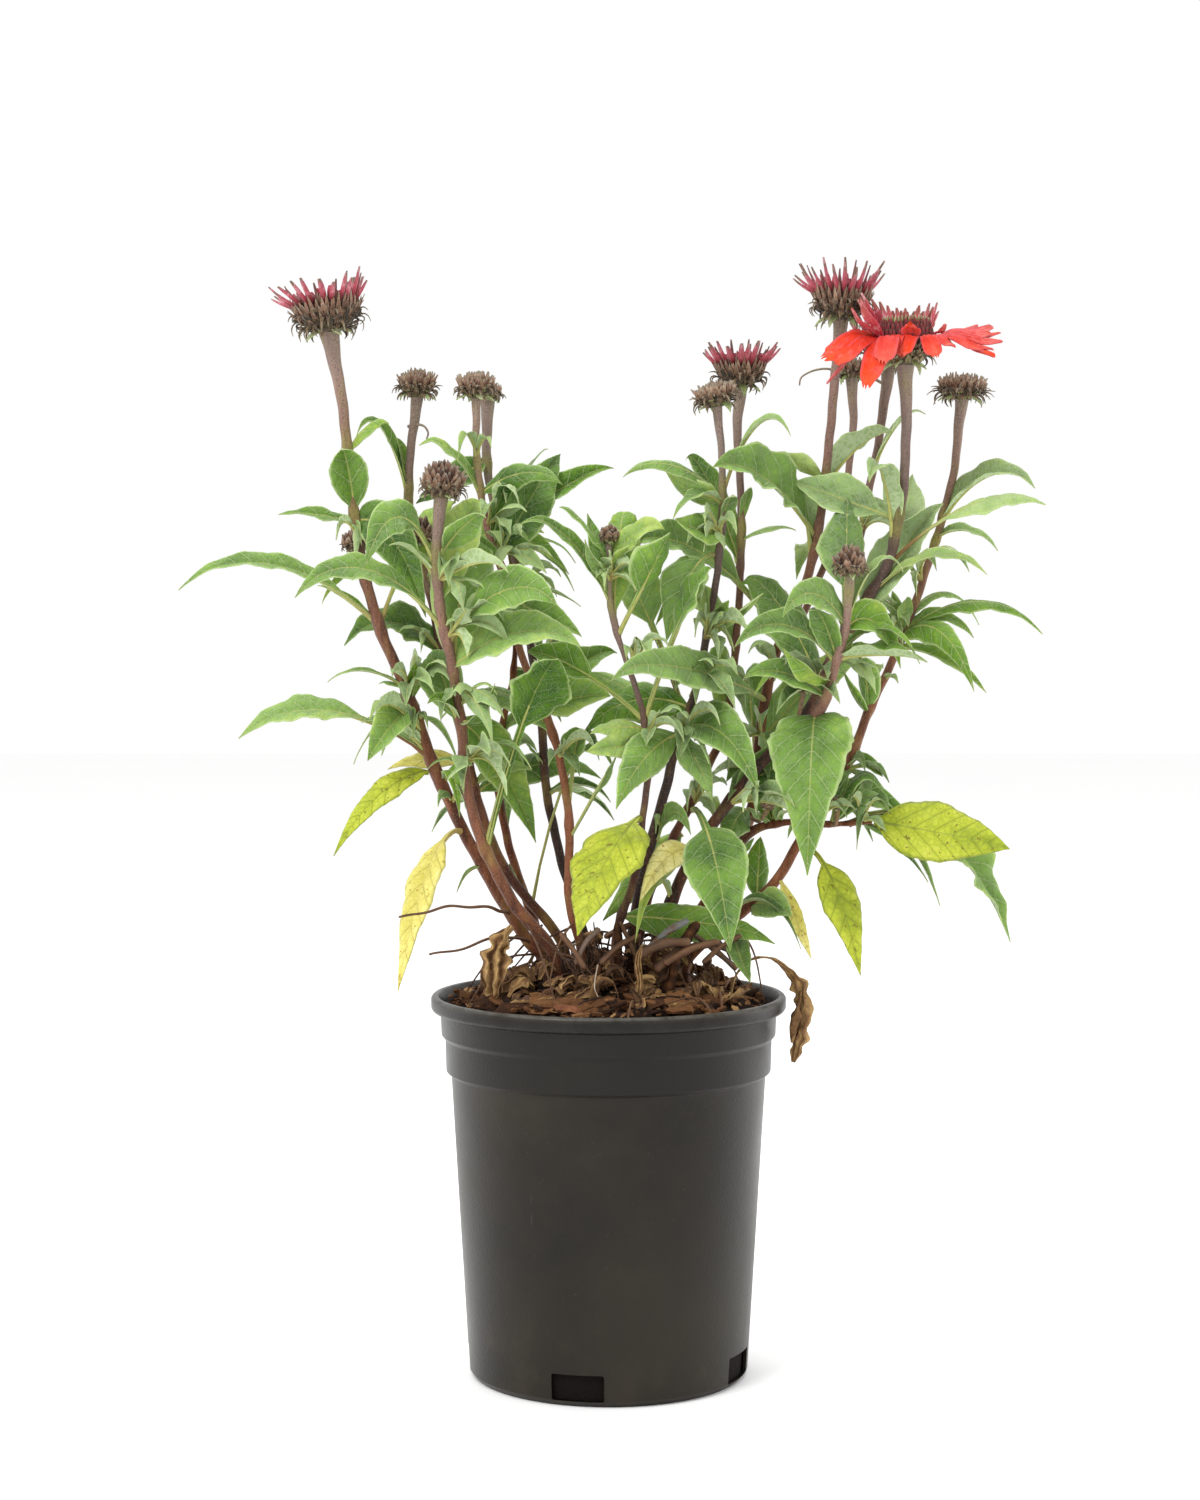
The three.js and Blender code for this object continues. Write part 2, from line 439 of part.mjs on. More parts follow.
function leafSolid(start, tip, { width, lift, roll, stalk }, grow = 0) {
  const ribbed = width >= RIBBED;
  const table = width >= 12 ? LARGE : width >= 8 ? SMALL : TINY;
  const line = curve(start, tip, lift);
  const heading = V(tip.x - start.x, tip.y - start.y, 0).normalize();
  const across = heading.clone().cross(UP);
  const turn = rad(roll) * (across.y > 0 ? 1 : -1);
  const stalkRows = stalk > 0.4 ? [0, stalk / 2] : stalk > 0 ? [0] : [];
  const stations = [...stalkRows.map((t) => [t, table[0][1]]),
    ...table.map(([s, w]) => [stalk + (1 - stalk) * s, w])];
  const rows = [];
  const normals = [];
  stations.forEach(([t, share], i) => {
    const c = line.getPoint(t);
    const along = line.getTangent(t);
    const side = across.clone().applyAxisAngle(along, -turn).normalize();
    const normal = side.clone().cross(along).normalize();
    const blade = i > stalkRows.length && t < 1;
    const tooth = blade ? (i % 2 ? 1.06 : 0.95) : 1;
    const half = Math.max(0.45, width * share * tooth / 2) + grow;
    const wave = blade ? 0.045 * width * (i % 2 ? 1 : -1) : 0;
    const rise = blade && ribbed ? half * 0.3 : 0;
    const edge = (s) => c.clone().addScaledVector(side, s * half)
      .addScaledVector(normal, rise + s * wave);
    if (t === 1) rows.push([c.addScaledVector(along, grow)]);
    else rows.push(blade && ribbed ? [edge(-1), c, edge(1)] : [edge(-1), edge(1)]);
    normals.push(normal);
  });
  return sheet(rows, normals, BLADE / 2 + grow);
}

// ---- heads ---------------------------------------------------------------------------------

// frame of a head: its foot, its axis and a turn of degrees round the axis
function headFrame(name) {
  const [stem, , , lean] = HEADS[name];
  const path = stemPath(stem);
  const axis = V(Math.sin(rad(lean)), 0, Math.cos(rad(lean)));
  const foot = path[path.length - 1].clone().addScaledVector(UP, GAP + STEMS[stem].flare * 0.14);
  const right = V(axis.z, 0, -axis.x);
  const at = (deg, r, h) => foot.clone().addScaledVector(right, r * Math.cos(rad(deg)))
    .addScaledVector(V(0, 1, 0), r * Math.sin(rad(deg))).addScaledVector(axis, h);
  return { at, axis };
}

// disc of pointed florets over a frill of bracts: rings of points round the axis, each as share
// of the radius, share of the height, and how far every other point is drawn out and up
const FORMS = {
  bud: [[0.34, 0, 0, 0], [0.62, 0.2, 0, 0], [0.9, 0.16, 0.5, -0.12], [0.9, 0.4, 0.06, 0],
    [1, 0.6, 0.14, 0.08], [0.84, 0.84, 0.14, 0.12], [0.5, 0.93, 0.1, 0.12]],
  half: [[0.3, 0, 0, 0], [0.66, 0.22, 0, 0], [0.84, 0.26, 0.3, -0.2], [0.92, 0.56, 0.06, 0.05],
    [1, 0.8, 0, 0], [0.82, 0.8, 0, 0], [0.78, 0.94, 0.06, 0.07], [0.42, 0.97, 0.06, 0.1]],
  open: [[0.36, 0, 0, 0], [0.66, 0.3, 0, 0], [0.84, 0.34, 0.3, -0.2], [0.92, 0.62, 0.05, 0],
    [1, 0.8, 0, 0], [0.82, 0.8, 0, 0], [0.8, 1.08, 0.08, 0.08], [0.5, 1.24, 0.08, 0.1]],
};

function headSolid(name) {
  const [, R, H, , form] = HEADS[name];
  const { at } = headFrame(name);
  const sides = R > 7 ? 10 : 8;
  return loft(FORMS[form].map(([r, h, out, up], i) => Array.from({ length: sides }, (_, j) => {
    const drawn = (i + j) % 2 ? 0.85 + 0.3 * chance(i + 9 * j + R) : -0.2;
    return at(360 * j / sides, R * (r + out * drawn), H * (h + up * drawn));
  })));
}

// band on the shelf of the head that carries the ray florets
function collar(name) {
  const [, R, H] = HEADS[name];
  const { at } = headFrame(name);
  const sides = 12;
  const loop = (r, h) => Array.from({ length: sides }, (_, j) => at(360 * j / sides, r, h));
  const low = H * 0.8 + GAP;
  const [r0, r1] = [R * 0.94 + 0.15, R * 1.04 + 0.4];
  const rings = [loop(r0, low), loop(r1, low), loop(r1, low + 1.4), loop(r0, low + 1.4)];
  const triangles = [];
  rings.forEach((_, i) => {
    for (let j = 0; j < sides; j++) {
      const [k, m] = [(i + 1) % 4, (j + 1) % sides];
      const [a, b, c, d] = [i * sides + j, i * sides + m, k * sides + m, k * sides + j];
      triangles.push([a, b, c], [a, c, d]);
    }
  });
  return solid(rings.flat(), triangles);
}

// half-open rays: a band on the same shelf whose upper edge runs up into pointed rays
function rayRing(name) {
  const [, R, H] = HEADS[name];
  const { at } = headFrame(name);
  const [count, length, leanLeft, leanRight] = RAYS[name];
  const low = H * 0.8 + GAP;
  const [r0, r1, foot] = [R * 0.94 + 0.15, R * 0.94 + 1.15, low + 1.1];
  const points = [];
  const triangles = [];
  const quad = (a, b, c, d) => triangles.push([a, b, c], [a, c, d]);
  for (let j = 0; j < count; j++) {
    const deg = 360 * (j + 0.3 * chance(j + 7 * R)) / count;
    const side = (1 + Math.cos(rad(deg))) / 2;
    const lean = rad(leanLeft + (leanRight - leanLeft) * side + 8 * (chance(j + 5) - 0.5));
    const long = length * (0.82 + 0.3 * chance(j + 11 + R));
    const [out, up] = [long * Math.sin(lean), foot + long * Math.cos(lean)];
    const turn = 1.15 / R * 180 / Math.PI;
    for (const d of [deg - turn, deg + turn]) {
      points.push(at(d, r0, low), at(d, r1, low), at(d, r1, foot), at(d, r0, foot));
    }
    const tip = 0.45 / (R + out) * 180 / Math.PI;
    for (const d of [deg - tip, deg + tip]) points.push(at(d, r1 + out, up), at(d, r0 + out, up));
    const [a, b, c, next] = [12 * j, 12 * j + 4, 12 * j + 8, 12 * ((j + 1) % count)];
    for (const [p, q] of [[0, 1], [1, 2], [3, 0]]) quad(a + p, b + p, b + q, a + q);
    for (const [p, q] of [[0, 1], [1, 2], [2, 3], [3, 0]]) quad(b + p, next + p, next + q, b + q);
    quad(a + 2, b + 2, c + 2, c);
    quad(b + 3, a + 3, c + 1, c + 3);
    quad(b + 2, b + 3, c + 3, c + 2);
    quad(a + 3, a + 2, c, c + 1);
    quad(c, c + 2, c + 3, c + 1);
  }
  return solid(points, triangles);
}

function openRays(name) {
  const [, R, H] = HEADS[name];
  const { at, axis } = headFrame(name);
  const low = H * 0.8 + GAP + 0.7;
  const shape = [[0, 0.4], [0.55, 1], [1, 0.45]];
  const rays = OPEN_RAYS.map(([deg, reach, drop, width, roll]) => {
    const outward = at(deg, 1, 0).sub(at(deg, 0, 0));
    const round = at(deg + 90, 1, 0).sub(at(deg + 90, 0, 0));
    const broad = width >= 12;
    const rows = [];
    const normals = [];
    shape.forEach(([s, w]) => {
      const r = R * 0.98 + reach * s;
      const h = low + 2.4 * Math.sin(Math.PI * Math.min(1, s * 1.4)) - drop * s ** 1.6;
      const slope = Math.atan2(drop * 1.6 * s ** 0.6, reach);
      const turn = s > 0 ? rad(roll) * (round.y > 0 ? 1 : -1) : 0;
      const up = axis.clone().multiplyScalar(Math.cos(slope))
        .addScaledVector(outward, Math.sin(slope));
      const side = round.clone().multiplyScalar(Math.cos(turn)).addScaledVector(up, Math.sin(turn));
      const middle = at(deg, r, h);
      const edge = (t) => middle.clone().addScaledVector(side, t * width * w / 2)
        .addScaledVector(up, -width * w * 0.1);
      const edges = [edge(-1), edge(1)];
      if (broad && s > 0) edges.splice(1, 0, middle);
      rows.push(broad || s < 1 ? edges : [middle]);
      normals.push(up.multiplyScalar(Math.cos(turn)).addScaledVector(round, -Math.sin(turn)));
    });
    if (broad) rows[2][1] = at(deg, R * 0.98 + reach * 0.92, low - drop * 0.88);
    return sheet(rows, normals, 0.35);
  });
  return joined([collar(name), ...rays]);
}

// ---- litter --------------------------------------------------------------------------------

// a strip through places, with its widths and the direction across it
function strip(route, widths, across, half, grow = 0) {
  const rows = [];
  const normals = [];
  const side = V(...across).normalize();
  route.forEach((p, i) => {
    const before = V(...route[Math.max(0, i - 1)]);
    const along = V(...route[Math.min(route.length - 1, i + 1)]).sub(before).normalize();
    const c = V(...p);
    rows.push([c.clone().addScaledVector(side, -widths[i] / 2 - grow),
      c.clone().addScaledVector(side, widths[i] / 2 + grow)]);
    normals.push(side.clone().cross(along).normalize());
  });
  return sheet(rows, normals, half + grow);
}

// places are [x, y, z]; where lies is set, z is measured up from the soil
const LITTER = {
  dead_leaf_rim: { paint: 'dead', half: 0.4, across: [0.9, -0.44, 0],
    route: [[56, -12, 175.5], [60, -12, 190], [66, -13, 196], [74, -14, 197], [82, -15, 192], [88, -15, 184],
      [89.6, -15, 174], [87, -15, 154], [85.6, -15, 148.5]],
    widths: [1.6, 1.3, 1.2, 1.2, 2.6, 7, 8.5, 6, 2] },
  dead_leaf_left: { paint: 'dead', half: 0.4, across: [0.94, -0.3, 0.1],
    route: [[-51, -38, 175], [-53, -38, 190], [-51, -37, 201], [-48, -37, 209],
      [-44, -37, 214.5]],
    widths: [3, 8, 9, 7, 2.5] },
  chip_straw: { paint: 'chip', half: 1.1, across: [0.5, -0.8, 0.25], lies: true,
    route: [[-69, -10, 1.2], [-60, -17, 1.4], [-49, -24, 1.2]], widths: [4.5, 6.5, 4] },
  chip_square: { paint: 'soil', half: 1.2, across: [0, -0.75, 0.66], lies: true,
    route: [[-42, -42, 2.4], [-30, -44, 2.4]], widths: [9, 9] },
  chip_brick: { paint: 'brick', half: 1.3, across: [0, -0.85, 0.5], lies: true,
    route: [[-27, -58, 1], [-20, -59, 2.2], [-12, -60, 1]], widths: [5, 8, 5] },
};

const littered = ({ route, lies }) => route.map(([x, y, z]) => [x, y,
  lies ? z + soilHeight(x, y) : z]);

// thin roots that grow from a stem and lie over the litter
const ROOTLETS = { s1: [[[-37, 203, -6], [-52, 205, -26], [-66, 200.5, -32], [-84, 196.5, -38]],
  [[-46, 216, -6], [-56, 218.8, -30], [-72, 219.5, -46], [-86, 217, -58], [-98, 214, -66]]] };

// ---- assembly ------------------------------------------------------------------------------

const root = new THREE.Group();
root.name = 'coneflower_in_pot';
const placed = [];                 // everything already in the clump: owner, solid, box, leaf

function overlaps(test, spared) {
  const box = test.boundingBox();
  return placed.some((other) => {
    if (spared(other)) return false;
    const b = other.box;
    for (let k = 0; k < 3; k++) {
      if (b.max[k] < box.min[k] || b.min[k] > box.max[k]) return false;
    }
    return test.intersect(other.solid).volume() > 1e-7;
  });
}

function keep(owner, body, leaf = false) {
  placed.push({ owner, solid: body, box: body.boundingBox(), leaf });
  return body;
}

function addMesh(name, body, paint) {
  const mesh = body.getMesh();
  const geometry = new THREE.BufferGeometry();
  geometry.setAttribute('position', new THREE.BufferAttribute(mesh.vertProperties, 3));
  geometry.setIndex(new THREE.BufferAttribute(mesh.triVerts, 1));
  geometry.computeVertexNormals();
  const [color, roughness] = PAINT[paint];
  const item = new THREE.Mesh(geometry,
    new THREE.MeshStandardMaterial({ color, roughness, metalness: 0 }));
  item.name = name;
  root.add(item);
}

const trunkOf = (name) => STEMS[name].from ?? name;

// the first bend that clears everything but its own stem, else its own stem's leaves too
function clearLeaf(owner, start, tipAt, form) {
  const own = (other) => other.owner === owner;
  for (const spared of [(other) => own(other) && !other.leaf, own]) {
    for (const [deeper, higher] of BENDS) {
      const tip = tipAt(deeper);
      const shape = { ...form, lift: form.lift + higher };
      const test = leafSolid(start, tip, shape, GAP);
      if (!overlaps(test, spared)) return leafSolid(start, tip, shape);
    }
  }
  return null;
}

function greenLeaf(name, [at, across, up, depth, width, lift, roll, stalk = 0]) {
  const { point } = onStem(name, at);
  const owner = trunkOf(name);
  return clearLeaf(owner, point, (deeper) => place([across, up, depth + deeper]),
    { width, lift, roll, stalk });
}

function yellowLeaf(owner, [name, at, across, up, depth, width, lift, roll, stalk = 0]) {
  const { point, radius } = onStem(name, at);
  const away = place([across, up, depth]).sub(point).setZ(0).normalize();
  if (STEMS[name].level) away.set(1, 0, 0);
  const start = point.clone().addScaledVector(away, STEMS[name].level ? 1.2 : radius + YELLOW_GAP);
  return clearLeaf(owner, start, (deeper) => place([across, up, depth + deeper]),
    { width, lift, roll, stalk });
}

function backLeaves(name, seed) {
  const { route } = STEMS[name];
  const list = [];
  const top = Math.min(BACK.high, route[route.length - 1][1] - 30);
  for (let up = Math.max(BACK.low + 12 * chance(seed), route[0][1]); up < top; up += BACK.step) {
    const n = seed + up;
    const { point } = onStem(name, up);
    const angle = rad(90 + between([-62, 62], n));
    const length = between(BACK.length, n + 1);
    const tipAt = (deeper) => point.clone().add(V(length * Math.cos(angle),
      length * Math.sin(angle) + deeper * 0.6, -between(BACK.drop, n + 2)));
    list.push(clearLeaf(trunkOf(name), point, tipAt,
      { width: between(BACK.width, n + 3), lift: 9, roll: 0, stalk: 0 }));
  }
  return list;
}

function build() {
  const trunks = Object.keys(STEMS).filter((name) => !STEMS[name].from);
  const bodies = {};
  for (const name of trunks) bodies[name] = [];
  for (const name of Object.keys(STEMS)) bodies[trunkOf(name)].push(keep(trunkOf(name),
    stemSolid(name)));
  for (const [name, routes] of Object.entries(ROOTLETS)) {
    for (const route of routes) {
      const radii = route.map((_, i) => 0.9 - 0.3 * i / route.length);
      bodies[name].push(keep(name, tube(route.map(place), radii, 5)));
    }
  }

  keep('pot', pot());
  addMesh('pot', placed[placed.length - 1].solid, 'pot');
  const seats = Object.values(LITTER).map((item) => (
    strip(littered(item), item.widths, item.across, item.half, GAP)));
  const ground = soil([...trunks.map(hole), ...seats]);
  addMesh('soil', keep('soil', ground), 'soil');
  for (const [name, item] of Object.entries(LITTER)) {
    const body = strip(littered(item), item.widths, item.across, item.half);
    addMesh(name, keep(name, body), item.paint);
  }

  for (const name of Object.keys(HEADS)) {
    addMesh(`head_${name}`, keep(`head_${name}`, headSolid(name)), 'disc');
    if (RAYS[name]) addMesh(`rays_${name}`, keep(`rays_${name}`, rayRing(name)), 'ray');
  }
  addMesh('rays_j', keep('rays_j', openRays('j')), 'open');

  for (const [name, numbers] of Object.entries(YELLOW)) {
    const leaf = yellowLeaf(name, numbers);
    if (leaf) addMesh(name, keep(name, leaf), name.includes('lime') ? 'lime' : 'straw');
  }
  for (const wide of [true, false]) {
    for (const name of Object.keys(STEMS)) {
      for (const numbers of STEMS[name].leaves.filter((l) => (l[4] >= 12) === wide)) {
        const leaf = greenLeaf(name, numbers);
        if (leaf) bodies[trunkOf(name)].push(keep(trunkOf(name), leaf, true));
      }
    }
  }
  BACK.stems.forEach((name, i) => {
    for (const leaf of backLeaves(name, 40 + 17 * i)) {
      if (leaf) bodies[trunkOf(name)].push(keep(trunkOf(name), leaf, true));
    }
  });
  for (const name of trunks) addMesh(`stem_${name.slice(1)}`, whole(joined(bodies[name])), 'leaf');
}

build();
export default root;
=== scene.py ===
# Looks of the coneflower in its nursery pot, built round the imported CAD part.
# Lengths are millimetres until a mesh is made, in the part's frame: X right, Y away, Z up.
# Places on the plant are [across, up, depth], as in the part: across and up are read on the
# plane y = 0 as seen from EYE, depth is the distance behind it.
import math
import bpy
import bmesh
import numpy as np
from mathutils import Matrix, Vector, kdtree, noise


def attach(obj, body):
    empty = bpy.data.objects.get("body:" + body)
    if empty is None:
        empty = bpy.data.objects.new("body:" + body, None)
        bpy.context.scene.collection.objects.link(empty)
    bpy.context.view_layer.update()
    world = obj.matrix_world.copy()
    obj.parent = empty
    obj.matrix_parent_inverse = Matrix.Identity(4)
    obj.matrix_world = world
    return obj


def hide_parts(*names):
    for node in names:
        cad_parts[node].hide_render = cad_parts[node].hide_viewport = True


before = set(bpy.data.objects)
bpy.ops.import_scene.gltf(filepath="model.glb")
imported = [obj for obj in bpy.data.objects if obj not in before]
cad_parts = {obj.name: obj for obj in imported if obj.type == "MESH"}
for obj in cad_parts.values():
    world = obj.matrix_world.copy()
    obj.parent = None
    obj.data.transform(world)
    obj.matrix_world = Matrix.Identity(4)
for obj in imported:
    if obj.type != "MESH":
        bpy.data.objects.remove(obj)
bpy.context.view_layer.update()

MM = 0.001
# the camera: place across, distance in front, height, tilt down in degrees, lens and sensor
EYE = {"x": -4, "dist": 1320, "z": 355, "tilt": 2.7, "lens": 67.97, "sensor": 36}
# how far a head stands off its stem and a wreath of rays off its head
GAP = 0.35
# how thick the part's leaves are
BLADE = 0.7
# the pot's section as [radius, height]: up the outside, then down the inside
POT_OUTSIDE = [[0, 0], [62.8, 0], [65.4, 3], [73.6, 141.5], [76, 143.2], [76.4, 158.2],
               [78.2, 160.2], [78.6, 170.5], [82.2, 171.6], [83, 173], [83, 177.3], [82, 178.5],
               [79.8, 178.5]]
POT_INSIDE = [[76.9, 170], [76.5, 161.4], [74.7, 159.6], [74.3, 144.8], [72.1, 142.6],
              [63.8, 2.4], [0, 2.4]]
# where the drainage windows are, in degrees round the pot, and how large they are
WINDOWS = [-12.5, 67.5, -92.5, 167.5]
WINDOW = {"width": 24.4, "low": 2.6, "high": 15}
# the soil: height at the wall, rise at the crown, reach of the rise, unevenness, and the height
# at which the stems start inside it
SOIL = {"edge": 174.5, "crown": 16, "spread": 42, "rough": 1.4, "foot": 179}

